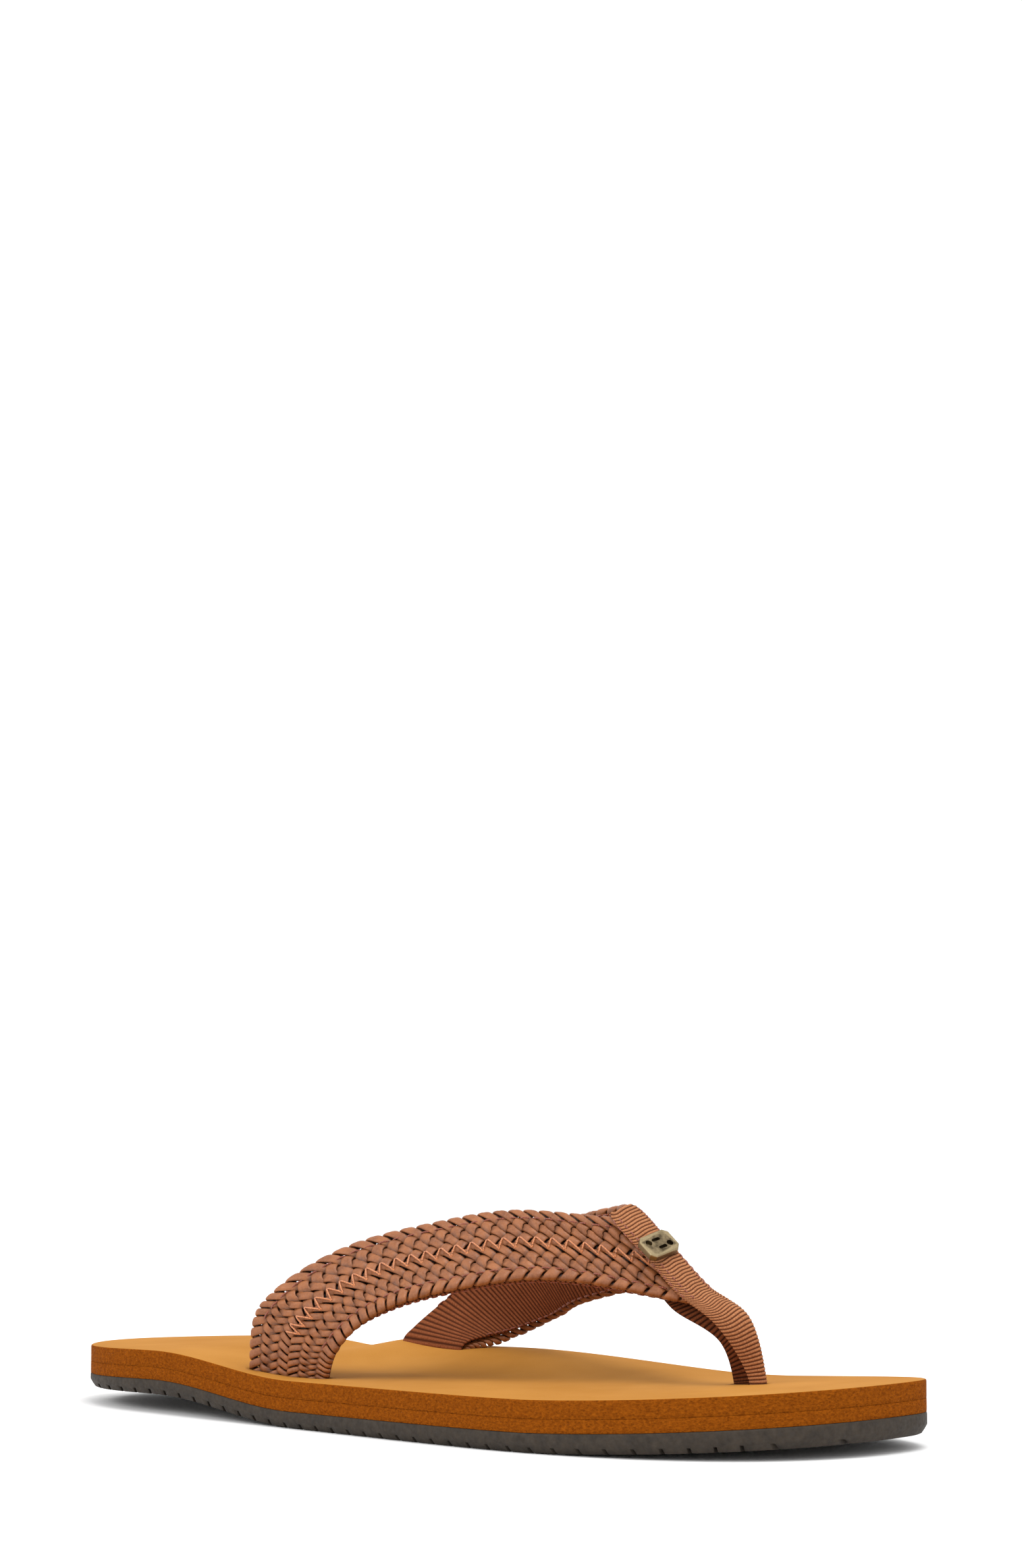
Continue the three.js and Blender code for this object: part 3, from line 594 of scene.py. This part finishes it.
class Strap:
    """A strap's surface. point(s, y, z) takes the length up from the tail, the distance across
    from the rear edge, and the height above the plaits' underside, all in millimetres."""

    def __init__(self, name, side, rear, front):
        self.name, self.side = name, side
        self.rear, self.front = self.edge(*rear), self.edge(*front)
        self.a = np.linspace(0, 1, 261)
        self.b = np.linspace(0, 1, 9)
        grid = self.raw(self.a[None, :], self.b[:, None])
        step = np.linalg.norm(np.diff(grid, axis=1), axis=2)
        middle = step[len(self.b) // 2]
        own = smooth((self.a[1:] + self.a[:-1]) / 2, 0.6, 0.8)
        step = mix(middle, step, own)
        self.lengths = np.concatenate([np.zeros((len(self.b), 1)), np.cumsum(step, 1)], 1)
        self.length = self.lengths.max()

    @staticmethod
    def edge(start, end, arch):
        along, out = start[:2]
        points = [[along, out, float(midsole_top(along, out)) + TAIL_CLEAR], start]
        for share, side, up in arch:
            points.append([mix(start[k], end[k], share) + (0, side, up)[k] for k in range(3)])
        points.append(end)
        return Spline(place(*np.array(points, float).T))

    def raw(self, a, b):
        a, b = np.broadcast_arrays(a, b)
        return mix(self.rear.at(a), self.front.at(a), b[..., None])

    def share(self, s, b):
        """Where along the edges' own measure a length s lies on the line b across."""
        rows = np.stack([np.interp(s, line, self.a) for line in self.lengths])
        spot = np.clip(b, 0, 1) * (len(self.b) - 1)
        k = np.minimum(spot.astype(int), len(self.b) - 2)
        pick = np.indices(np.shape(s))
        return mix(rows[(k, *pick)], rows[(k + 1, *pick)], spot - k)

    def end(self, b):
        return np.interp(b, self.b, self.lengths[:, -1])

    def on(self, a, b, z):
        e = 1e-3
        along = self.raw(np.minimum(a + e, 1), b) - self.raw(np.maximum(a - e, 0), b)
        across = self.front.at(a) - self.rear.at(a)
        normal = unit(np.cross(across, along)) * self.side
        return self.raw(a, b) + normal * np.asarray(z)[..., None]

    def point(self, s, y, z):
        s, y, z = np.broadcast_arrays(s, y, z)
        b = y / STRAP_WIDTH
        return self.on(self.share(s, b), b, z)


def spline_length(curve):
    return float(np.linalg.norm(np.diff(curve.at(np.linspace(0, 1, 201)), axis=0), axis=1).sum())


def on_footbed(along, out):
    return [along, out, float(footbed_top(along, out))]


def apex(back, out, height):
    return [THONG_AT - back, out - THONG_IN, FOOTBED_AT_THONG + height]


HALF = STRAP_WIDTH / 2
OUTER = Strap(
    "outer", 1,
    (
        on_footbed(OUTER_SLOT_AT - HALF, float(outer_edge(OUTER_SLOT_AT - HALF)) - 8.3),
        apex(APEX_REAR_BACK, APEX_OUT, APEX_REAR_HEIGHT),
        [
            (0.015, 0, 15.3), (0.088, 1.2, 19.6), (0.219, -7.9, 24.7),
            (0.45, -9.8, 21.5), (0.66, -8.8, 16),
        ],
    ),
    (
        on_footbed(OUTER_SLOT_AT + HALF, float(outer_edge(OUTER_SLOT_AT + HALF)) - 14),
        apex(APEX_FRONT_BACK, APEX_OUT, APEX_FRONT_HEIGHT),
        [(0.03, 1.6, 6.5), (0.1, 3, 12.6), (0.2, 2.8, 16.2), (0.35, 0.7, 17.5), (0.59, -1.6, 15.4)],
    ),
)
INNER = Strap(
    "inner", -1,
    (
        on_footbed(INNER_SLOT_AT - HALF, float(inner_edge(INNER_SLOT_AT - HALF)) + 5.3),
        apex(APEX_REAR_BACK, APEX_IN, APEX_REAR_HEIGHT + INNER_APEX_RAISE),
        [
            (0.027, -2.5, 2.6), (0.134, -11.2, 9.4), (0.344, -12, 14.4),
            (0.572, -9, 13.2), (0.9, -7.4, 5.6),
        ],
    ),
    (
        on_footbed(INNER_SLOT_AT + HALF, float(inner_edge(INNER_SLOT_AT + HALF)) + 10.9),
        apex(APEX_FRONT_BACK, APEX_IN, APEX_FRONT_HEIGHT + INNER_APEX_RAISE),
        [(0.013, -1.4, 1.3), (0.1, -8.6, 2.3), (0.266, -13, 5), (0.454, -8.2, 7.8), (0.88, -8, 6.6)],
    ),
)
STRAPS = [OUTER, INNER]

STRANDS = 5
PLAIT_WIDTH = STRAP_WIDTH / 2 - 0.1
CROSSING = PLAIT_WIDTH / STRANDS  # how far across the plait a strand gets at each crossing
CENTRE_HEIGHT = 1.62
SWING = 0.66  # a strand's height over and under the plait's middle
COVER = 0.84  # a strand's width as a share of the room it has
STRAND_THICK = 1.32
SAMPLES = 8  # rings for each crossing
RING = 14


def advance_at(s):
    """How far a strand advances from one crossing to the next, closing up towards the slot."""
    return np.interp(s, [0, 13, 24, 40, 75, 105], [1.1, 1.2, 1.75, 2.15, 2.4, 2.6])


def crossing_lengths(total):
    lengths = [0.0]
    while lengths[-1] < total + 8:
        lengths.append(lengths[-1] + float(advance_at(lengths[-1])))
    return np.array(lengths)


class Strand:
    """A flat strip that runs over and under the others across its plait, and folds over flat
    at each edge. middle(d, v) takes crossings along the strip and millimetres across it."""

    def __init__(self, phase, total):
        self.phase = phase
        self.lengths = crossing_lengths(total)
        self.count = len(self.lengths)

    def slope(self, d):
        advance = advance_at(np.interp(d, np.arange(self.count), self.lengths))
        return advance, np.hypot(advance, CROSSING)

    def middle(self, d, v):
        advance, run = self.slope(d)
        turn = (d + self.phase) % (2 * STRANDS)
        s = np.interp(d, np.arange(self.count), self.lengths) - v * CROSSING / run
        unfolded = (turn * CROSSING + v * advance / run + PLAIT_WIDTH / 2) % (2 * PLAIT_WIDTH)
        unfolded -= PLAIT_WIDTH / 2
        right = unfolded > PLAIT_WIDTH / 2
        past = np.where(right, unfolded - PLAIT_WIDTH, unfolded)  # past the nearest fold
        bent = np.abs(past) < SWING * math.pi / 2
        inwards = np.where(
            bent, SWING * (1 - np.cos(past / SWING)), np.abs(past) - SWING * (math.pi / 2 - 1)
        )
        y = np.where(right, PLAIT_WIDTH - inwards, inwards)
        fold = np.where(bent, np.sin(past / SWING), np.sign(past))
        run_turn = turn % STRANDS
        near_fold = (run_turn < 1) | (run_turn > STRANDS - 1)
        weave = np.cos(math.pi * (run_turn - 1))
        return np.stack([s, y, CENTRE_HEIGHT + SWING * np.where(near_fold, fold, weave)], -1)

    def rings(self, rng):
        d = np.arange(0.1, self.count - 1.1, 1 / SAMPLES)
        advance, run = self.slope(d)
        width = COVER * 2 * advance * CROSSING / run * rng.uniform(0.97, 1.03)
        thick = STRAND_THICK * np.interp(advance, [1.1, 2.2], [0.86, 1])
        theta = np.linspace(0, 2 * math.pi, RING, endpoint=False)
        c, n = np.cos(theta), np.sin(theta)
        v = (np.sign(c) * np.abs(c) ** 0.85)[None] * width[:, None] / 2
        h = (np.sign(n) * np.abs(n) ** 0.8)[None] * thick[:, None] / 2
        d = np.broadcast_to(d[:, None], v.shape)
        e = 0.02
        along = self.middle(d + e, v) - self.middle(d - e, v)
        across = self.middle(d, v + e) - self.middle(d, v - e)
        middle = self.middle(d, v)
        ring = middle + unit(np.cross(along, across)) * h[..., None]
        # The second value is painted shade for the leather: on the upper face it is low where the
        # strand dips under the others, on the lower face where it rides over them.
        up = (middle[..., 2] - CENTRE_HEIGHT) / (2 * SWING)
        return ring, 0.5 + np.where(ring[..., 2] > middle[..., 2], up, -up)


def plait_rings(strap, y_from, seed):
    """The strands of one plait, each as rings of points on the strap."""
    rng = np.random.default_rng(seed)
    made, painted_lights = [], []
    for k in range(STRANDS):
        ring, painted_light = Strand(2 * k + rng.uniform(-0.06, 0.06), strap.length).rings(rng)
        knots = np.arange(0, strap.length + 30, 9.0)
        wobble = np.interp(ring[..., 0], knots, rng.normal(0, 0.07, len(knots)))
        ring[..., 1] += y_from + wobble
        ring[..., 2] += wobble
        # The painted shade is lifted near the strap's edges, where the strands fold over, so the edges
        # stay light.
        edge = np.minimum(ring[..., 1], STRAP_WIDTH - ring[..., 1])
        painted_light = np.maximum(painted_light, 0.95 - 0.6 * edge)
        inside = ring[..., 0].max(1) < strap.end(ring[..., 1].mean(1) / STRAP_WIDTH) - 0.2
        started = ring[..., 0].min(1) > 0.1
        first = int(np.argmax(started))
        last = int(np.argmin(inside)) if not inside.all() else len(inside)
        ring = ring[first:last]
        made.append(strap.point(ring[..., 0], ring[..., 1], ring[..., 2]))
        painted_lights.append(painted_light[first:last].ravel())
    return made, painted_lights


def make_plait(strap, which, y_from, seed):
    made, painted_lights = plait_rings(strap, y_from, seed)
    points, faces, base = [], [], 0
    for rings in made:
        count, size = rings.shape[:2]
        points.append(rings.reshape(-1, 3))
        faces += [tuple(base + v for v in face) for face in loop_faces(count, size, True)]
        base += count * size
    name = f"{strap.name}_{which}_plait"
    return finish_mesh(
        name + "_strands", np.vstack(points), faces, LEATHER, [name],
        {"lift": np.concatenate(painted_lights)},
    )


RIB_STEPS = 4


def ribbed(name, surface, length, width, pitch, thick, depth, look, nodes, columns=18):
    """A webbing strip with its ribs across it. surface(s, y, z), in millimetres."""
    rows = int(length / pitch) * RIB_STEPS + 1
    along = np.linspace(0, length, rows)
    across = width * (1 - np.cos(np.linspace(0, math.pi, columns))) / 2
    rib = 0.5 - 0.5 * np.cos(2 * math.pi * np.arange(rows) / RIB_STEPS)
    a, b = np.meshgrid(along, across, indexing="ij")
    edge = np.minimum(b, width - b)
    slim = 0.35 + 0.65 * smooth(edge, 0, 0.5)
    swell = (rib[:, None] - 0.5) * depth * smooth(edge, 0.0, 0.6)
    top = surface(a, b, thick / 2 * slim + swell)
    under = surface(a, b, -thick / 2 * slim - swell)[:, ::-1]
    rings = np.concatenate([top, under], 1)
    ribs = np.concatenate([np.repeat(rib[:, None], columns, 1)] * 2, 1)
    ys = np.concatenate([b, b[:, ::-1]], 1)
    return add_loops(name, rings, look, nodes, {"rib": ribs, "across": ys})


LAYER_GAP, LINING_THICK, LINING_INSET = 0.3, 1.2, 0.9
LINING_MIDDLE = -LAYER_GAP - LINING_THICK / 2


def make_lining(strap):
    def surface(s, y, z):
        return strap.point(s, y + LINING_INSET, z + LINING_MIDDLE)
    return ribbed(
        f"{strap.name}_lining_webbing", surface, strap.length, STRAP_WIDTH - 2 * LINING_INSET, 1.5,
        0.95, 0.26, LINING_CLOTH, [f"{strap.name}_lining"],
    )


THREAD_START = 15.5


def make_zigzag(strap):
    """One thread over the junction of the plaits, dipping between the strands at each turn."""
    lengths = [THREAD_START]
    while lengths[-1] < float(strap.end(0.5)) - 3:
        lengths.append(lengths[-1] + float(advance_at(lengths[-1])))
    s = np.array(lengths)
    side = np.where(np.arange(len(s)) % 2, 1.0, -1.0)
    points = []
    for k in range(len(s) - 1):
        for t, z in ((0, 2.6), (0.16, 3.25), (0.5, 3.3), (0.84, 3.25)):
            y = STRAP_WIDTH / 2 + 2.3 * mix(side[k], side[k + 1], t)
            points.append([mix(s[k], s[k + 1], t), y, z])
    path = Spline(points).at(np.linspace(0, 1, len(points) * 3))
    world = strap.point(path[:, 0], path[:, 1], path[:, 2])
    node = f"{strap.name}_zigzag_thread"
    return add_tubes(node + "_stitch", [world], 0.24, ZIGZAG_THREAD, [node])


def stitch_row(surface, start, end, y, z, length=3.2, gap=0.7, dip=0.8):
    """Straight stitches end to end, each one a short thread that dips at both ends."""
    paths = []
    spot = start
    t = np.linspace(0, 1, 9)
    while spot + length < end:
        hump = np.sin(math.pi * t) ** 0.5
        paths.append(surface(spot + t * length, np.full(9, y), z - dip * (1 - hump)))
        spot += length + gap
    return paths


# Distance of the upper row from the strap's edge and its height, and how much nearer the lower row is
EDGE_ROW, EDGE_ROW_HEIGHT, LOW_ROW_ASIDE = 3.4, 2.75, 2.2


def make_edge_threads(strap):
    """Topstitching along both edges: a row over the plaits and a row under the lining."""
    for which, y in (("rear", EDGE_ROW), ("front", STRAP_WIDTH - EDGE_ROW)):
        end = float(strap.end(y / STRAP_WIDTH)) - 2
        paths = stitch_row(strap.point, THREAD_START, end, y, EDGE_ROW_HEIGHT)
        node = f"{strap.name}_{which}_thread"
        low_y = y - LOW_ROW_ASIDE if which == "rear" else y + LOW_ROW_ASIDE
        low = stitch_row(strap.point, THREAD_START, end, low_y, LINING_MIDDLE - 0.62, 2.4, 0.9, -0.3)
        add_tubes(node + "_stitches", paths + low, 0.24, SEAM_THREAD, [node])


# ---- The band and the thong ---------------------------------------------------------------------
BAND_LIFT = 3.6
BAND_THICK = 1.3
BAND_CROWN = 0.5
BAND_OVER_OUTER, BAND_OVER_INNER = (0.9, 1.7), (0.3, 3.2)
THONG_SWELL = (0, 0.4, 1, 0.9, 0.7)
BAND_WRAP = 0.035
RIBBON_THICK = 1.1
RIBBON_OUTER, RIBBON_INNER = 3.4, 3
RIBBON_BEHIND = ((10.3, 9.6, 9.4), (0.9, 2, 2))
RIBBON_Q = (0.72, 1.03)
FOLD_ROW = 5


def above_strap(strap, back, q, lift):
    a = 1 - back / STRAP_FRONT[strap.name]
    return strap.on(np.array(a), np.array(float(q)), np.array(float(lift)))


STRAP_FRONT = {strap.name: spline_length(strap.front) for strap in STRAPS}


def band_section(q, lift):
    line = [
        above_strap(OUTER, mix(*BAND_OVER_OUTER, q), q, lift), above_strap(OUTER, 0, q, lift), None,
        above_strap(INNER, 0, q, lift), above_strap(INNER, mix(*BAND_OVER_INNER, q), q, lift),
    ]
    forward = unit(OUTER.front.at(1.0) - OUTER.rear.at(1.0))
    up = unit(np.cross(line[3] - line[1], forward))
    up = up if up[2] > 0 else -up
    line[2] = (line[1] + line[3]) / 2 + up * BAND_CROWN
    return np.array(line)


def thong_section(up):
    shape = [(0.3, 0.42), (0.62, 0.46), (1, 0), (0.62, -0.46), (0.3, -0.42)]
    return np.array([
        place(THONG_AT + along * THONG_DEPTH, out * THONG_HALF - THONG_IN, up) for along, out in shape
    ])


def band_rows():
    first, last = band_section(1, BAND_LIFT), thong_section(FOOTBED_AT_THONG)
    bow = np.array([-1.5, -3.2, 3.1]) + np.array(THONG_SWELL)[:, None] * [0, -2.5, 2]
    return [
        band_section(-BAND_WRAP, 0.3),
        band_section(-0.6 * BAND_WRAP, 0.75 * BAND_LIFT),
        band_section(0.06, BAND_LIFT),
        band_section(0.5, BAND_LIFT),
        band_section(0.97, BAND_LIFT),
        mix(first, last, 0.46) + bow,
        thong_section(FOOTBED_AT_THONG + 1.5),
        thong_section(float(midsole_top(THONG_AT, -THONG_IN))),
    ]


class Band:
    """The band's surface: point(s, y, z) with s down the crown line and y across, in millimetres."""

    def __init__(self):
        rows = band_rows()
        self.width = float(np.linalg.norm(np.diff(rows[3], axis=0), axis=1).sum())
        self.lines = [Spline([row[k] for row in rows]) for k in range(5)]
        self.a = np.linspace(0, 1, 400)
        crown = self.lines[2].at(self.a)
        self.s = np.r_[0, np.cumsum(np.linalg.norm(np.diff(crown, axis=0), axis=1))]
        self.length = self.s[-1]
        self.rows = len(rows) - 1

    def raw(self, a, b):
        a, b = np.broadcast_arrays(a, np.clip(b, 0, 1))
        stack = np.stack([line.at(a) for line in self.lines])
        spot = b * 4
        k = np.minimum(spot.astype(int), 3)
        w = (spot - k)[..., None]
        pick = np.indices(a.shape)
        get = lambda n: stack[(np.clip(k + n, 0, 4), *pick)]
        p0, p1, p2, p3 = get(-1), get(0), get(1), get(2)
        ease = 0.5
        t1, t2 = ease * (p2 - p0), ease * (p3 - p1)
        return (
            p1 + t1 * w + (-3 * p1 + 3 * p2 - 2 * t1 - t2) * w**2 + (2 * p1 - 2 * p2 + t1 + t2) * w**3
        )

    def point(self, s, y, z):
        s, y, z = np.broadcast_arrays(s, y, z)
        a, b = np.interp(s, self.s, self.a), y / self.width
        e = 2e-3
        along = self.raw(np.minimum(a + e, 1), b) - self.raw(np.maximum(a - e, 0), b)
        across = self.raw(a, np.minimum(b + e, 1)) - self.raw(a, np.maximum(b - e, 0))
        return self.raw(a, b) + unit(np.cross(along, across)) * np.asarray(z)[..., None]

    def at_row(self, row):
        return float(np.interp(row / self.rows, self.a, self.s))


BAND = Band()


def make_band():
    def surface(s, y, z):
        return BAND.point(s, y, z + BAND_THICK / 2)
    obj = ribbed("thong_band_webbing", surface, BAND.length, BAND.width, 1.12, 1.15, 0.22,
                 BAND_CLOTH, ["thong_band"], 26)
    for which, rows in (("outer", (0.9, 2.5)), ("inner", (BAND.width - 0.9, BAND.width - 2.5))):
        node = f"band_{which}_thread"
        paths = []
        for y in rows:
            paths += stitch_row(BAND.point, BAND.at_row(1.8), BAND.at_row(4.1), y, BAND_THICK,
                                2.2, 0.5, 0.5)
        add_tubes(node + "_stitches", paths, 0.2, SEAM_THREAD, [node])
    return obj


def make_inner_ribbon():
    """From flat under the straps' linings to edge-on in the open side of the fold."""
    under = -LINING_THICK - 5 * LAYER_GAP - RIBBON_THICK / 2
    starts = [[above_strap(OUTER, RIBBON_OUTER, q, under) for q in RIBBON_Q],
              [above_strap(INNER, RIBBON_INNER, q, z) for q, z in zip(RIBBON_Q, (under, 1.5))]]
    edges = []
    for start, behind in zip(starts, RIBBON_BEHIND):
        points = list(start)
        for row in range(FOLD_ROW, BAND.rows + 1):
            a = row / BAND.rows
            crown = BAND.lines[2]
            run = crown.at(min(1, a + 0.01)) - crown.at(a - 0.01)
            back = unit(np.array([0, -run[2], run[1]]))
            points.append(crown.at(a) + back * behind[row - FOLD_ROW] * np.sign(back[1]))
        edges.append(Spline(points))
    width = float(np.linalg.norm(edges[0].at(0.6) - edges[1].at(0.6)))
    length = spline_length(edges[0])

    def raw(a, b):
        a, b = np.broadcast_arrays(a, b)
        return mix(edges[0].at(a), edges[1].at(a), b[..., None])

    def surface(s, y, z):
        a, b, e = s / length, y / width, 2e-3
        along = raw(np.minimum(a + e, 1), b) - raw(np.maximum(a - e, 0), b)
        normal = unit(np.cross(along, raw(a, 1.0) - raw(a, 0.0)))
        return raw(a, b) + normal * np.asarray(z)[..., None]

    return ribbed("thong_inner_webbing", surface, length, width, 1.05, RIBBON_THICK - 0.1,
                  0.2, RIBBON_CLOTH, ["thong_inner_ribbon"], 14)


# ---- Slots and anchors --------------------------------------------------------------------------
def strap_slot(strap):
    """The footbed's opening round a strap's tail, a little larger than the strap."""
    corners = []
    for y, z in ((0.2, -1.8), (0.2, 3.1), (STRAP_WIDTH - 0.2, 3.1), (STRAP_WIDTH - 0.2, -1.8)):
        x = strap.point(np.array(4.0), np.array(y), np.array(z))
        corners.append((SOLE_LENGTH / 2 - x[1], -x[0]))
    return prism(corners, 2, 40)


def thong_slot():
    side, crown = 0.46 * THONG_HALF + BAND_THICK + 0.3, THONG_DEPTH + BAND_THICK + 0.4
    ring = [(-6.2, 0.9), (0.6, 1.1), (1, side), (2.6, side), (crown, 0.5)]
    ring += [(along, -out) for along, out in ring[::-1]]
    ring = [(THONG_AT + along, out) for along, out in ring]
    return prism([(along, out - THONG_IN) for along, out in ring], 2, 40)


ANCHORS = ["outer_strap_anchor", "inner_strap_anchor", "toe_anchor"]
POCKET_CLEAR = 0.3


def anchor_pocket(node):
    low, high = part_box(node)
    low, high = np.array(low) / MM, np.array(high) / MM
    along = SOLE_LENGTH / 2 - np.array([high[1], low[1]]) + [-POCKET_CLEAR, POCKET_CLEAR]
    out = -np.array([high[0], low[0]]) + [-POCKET_CLEAR, POCKET_CLEAR]
    corners = [(along[0], out[0]), (along[0], out[1]), (along[1], out[1]), (along[1], out[0])]
    return prism(corners, low[2] - POCKET_CLEAR, 30)


# ---- The badge ----------------------------------------------------------------------------------
BADGE = (11, 8, 1.9)
BADGE_CROP, BADGE_ROUND = 1.4, 0.35
BADGE_PLACE, BADGE_ASIDE = 0.45, 1.6
BADGE_BASE = BAND_THICK + 0.3


def badge_frame():
    """The plate's centre and its axes: its length lies across the band, its width along it."""
    row = mix(2, 4, BADGE_PLACE)
    spot = BAND.at_row(row)
    centre = BAND.point(np.array(spot), np.array(BAND.width / 2), np.array(0.0))
    raised = BAND.point(np.array(spot), np.array(BAND.width / 2), np.array(1.0))
    ahead = BAND.point(np.array(spot + 1), np.array(BAND.width / 2), np.array(0.0))
    normal = unit(raised - centre)
    forward = unit((ahead - centre) - normal * np.dot(ahead - centre, normal))
    sideways = np.cross(normal, forward)
    return centre - BADGE_ASIDE * sideways, sideways, -forward, normal


def badge_outline(inset):
    x, y, crop = BADGE[0] / 2 - inset, BADGE[1] / 2 - inset, BADGE_CROP - 0.4 * inset
    corners = [(x - crop, -y), (x, crop - y), (x, y - crop), (x - crop, y)]
    return corners + [(-a, -b) for a, b in corners]


def make_badge():
    """A plate with a bevelled edge and generic round and slotted openings."""
    centre, length_way, width_way, normal = badge_frame()
    rings = []
    for inset, up in ((0, BADGE_BASE), (0, BADGE_BASE + BADGE[2] - BADGE_ROUND),
                      (BADGE_ROUND * 0.3, BADGE_BASE + BADGE[2] - BADGE_ROUND * 0.3),
                      (BADGE_ROUND, BADGE_BASE + BADGE[2])):
        rings.append([(x, y, up) for x, y in badge_outline(inset)])
    points = np.array(rings)
    world = (centre + points[..., :1] * length_way + points[..., 1:2] * width_way
             + points[..., 2:] * normal)
    count = points.shape[1]
    edge = np.repeat([0.5, 0.8, 1.0, 0.6], count)
    faces = loop_faces(len(rings), count, True)
    obj = finish_mesh("badge_plate", world.reshape(-1, 3), faces, BRASS, ["badge"],
                      {"edge": edge}, smooth_faces=False)
    return cut_away(obj, [badge_opening(*spot) for spot in BADGE_OPENINGS])


# x along the plate's length, y along its width, half length and radius of each opening
BADGE_OPENINGS = [
    (-3.1, 1.2, 0, 1.0), (-0.2, 1.5, 0.9, 0.55), (0.2, -1.5, 0.9, 0.55), (3.1, -1.2, 0, 1.0),
]


def badge_opening(x, y, half, radius):
    centre, length_way, width_way, normal = badge_frame()
    turn = np.linspace(0, 2 * math.pi, 24, endpoint=False)
    px = x + radius * np.cos(turn) + np.where(np.cos(turn) > 0, half, -half)
    py = y + radius * np.sin(turn)
    rings = [np.stack([px, py, np.full(24, up)], 1) for up in (BADGE_BASE + 0.8, BADGE_BASE + 4)]
    points = np.concatenate(rings)
    world = (centre + points[:, :1] * length_way + points[:, 1:2] * width_way
             + points[:, 2:] * normal)
    return world, loop_faces(2, 24, True)


# ---- Camera, floor and lights -------------------------------------------------------------------
def make_stage():
    camera = bpy.data.objects.new("camera", bpy.data.cameras.new("camera"))
    camera.data.lens = 66.43
    camera.location = (-0.6668, -0.5610, 0.0878)
    camera.rotation_mode = "QUATERNION"
    camera.rotation_quaternion = Vector((0.7713, 0.6257, 0.1166)).to_track_quat("-Z", "Y")
    bpy.context.scene.collection.objects.link(camera)
    bpy.context.scene.camera = camera

    floor_mesh = bpy.data.meshes.new("floor")
    reach = 30.0
    floor_mesh.from_pydata([(-reach, -reach, 0), (reach, -reach, 0),
                            (reach, reach, 0), (-reach, reach, 0)],
                           [], [(0, 1, 2, 3)])
    floor = bpy.data.objects.new("floor", floor_mesh)
    bpy.context.scene.collection.objects.link(floor)
    pale = Look("floor_white", Roughness=0.9)
    pale.colour((0.95, 0.95, 0.95, 1))
    pale.shader.inputs["Specular IOR Level"].default_value = 0.1
    floor_mesh.materials.append(pale.material)

    world = bpy.data.worlds.new("studio")
    world.use_nodes = True
    world.node_tree.nodes["Background"].inputs["Color"].default_value = (1, 1, 1, 1)
    world.node_tree.nodes["Background"].inputs["Strength"].default_value = 1.1
    bpy.context.scene.world = world
    bpy.context.scene.view_settings.view_transform = "Standard"

    def soft_light(name, spot, power, size):
        data = bpy.data.lights.new(name, "AREA")
        data.energy, data.size, data.shape = power, size, "DISK"
        lamp = bpy.data.objects.new(name, data)
        lamp.location = spot
        lamp.rotation_mode = "QUATERNION"
        lamp.rotation_quaternion = (Vector((0, 0, 0.02)) - Vector(spot)).to_track_quat("-Z", "Y")
        bpy.context.scene.collection.objects.link(lamp)

    soft_light("top_light", (-0.1, -0.5, 1.5), 12, 0.9)
    soft_light("left_light", (-1.3, 0.5, 0.9), 6, 0.7)


# ---- Everything ---------------------------------------------------------------------------------
make_stage()
make_outsole()
make_midsole()
make_footbed()
for number, strap in enumerate(STRAPS):
    make_plait(strap, "rear", 0.0, 11 + number)
    make_plait(strap, "front", STRAP_WIDTH - PLAIT_WIDTH, 21 + number)
    make_lining(strap)
    make_zigzag(strap)
    make_edge_threads(strap)
make_band()
make_inner_ribbon()
make_badge()

for node, look in [(name, ANCHOR_CLOTH) for name in ANCHORS] + [("badge_washer", BRASS)]:
    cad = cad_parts[node]
    cad.data.materials.clear()
    cad.data.materials.append(look)
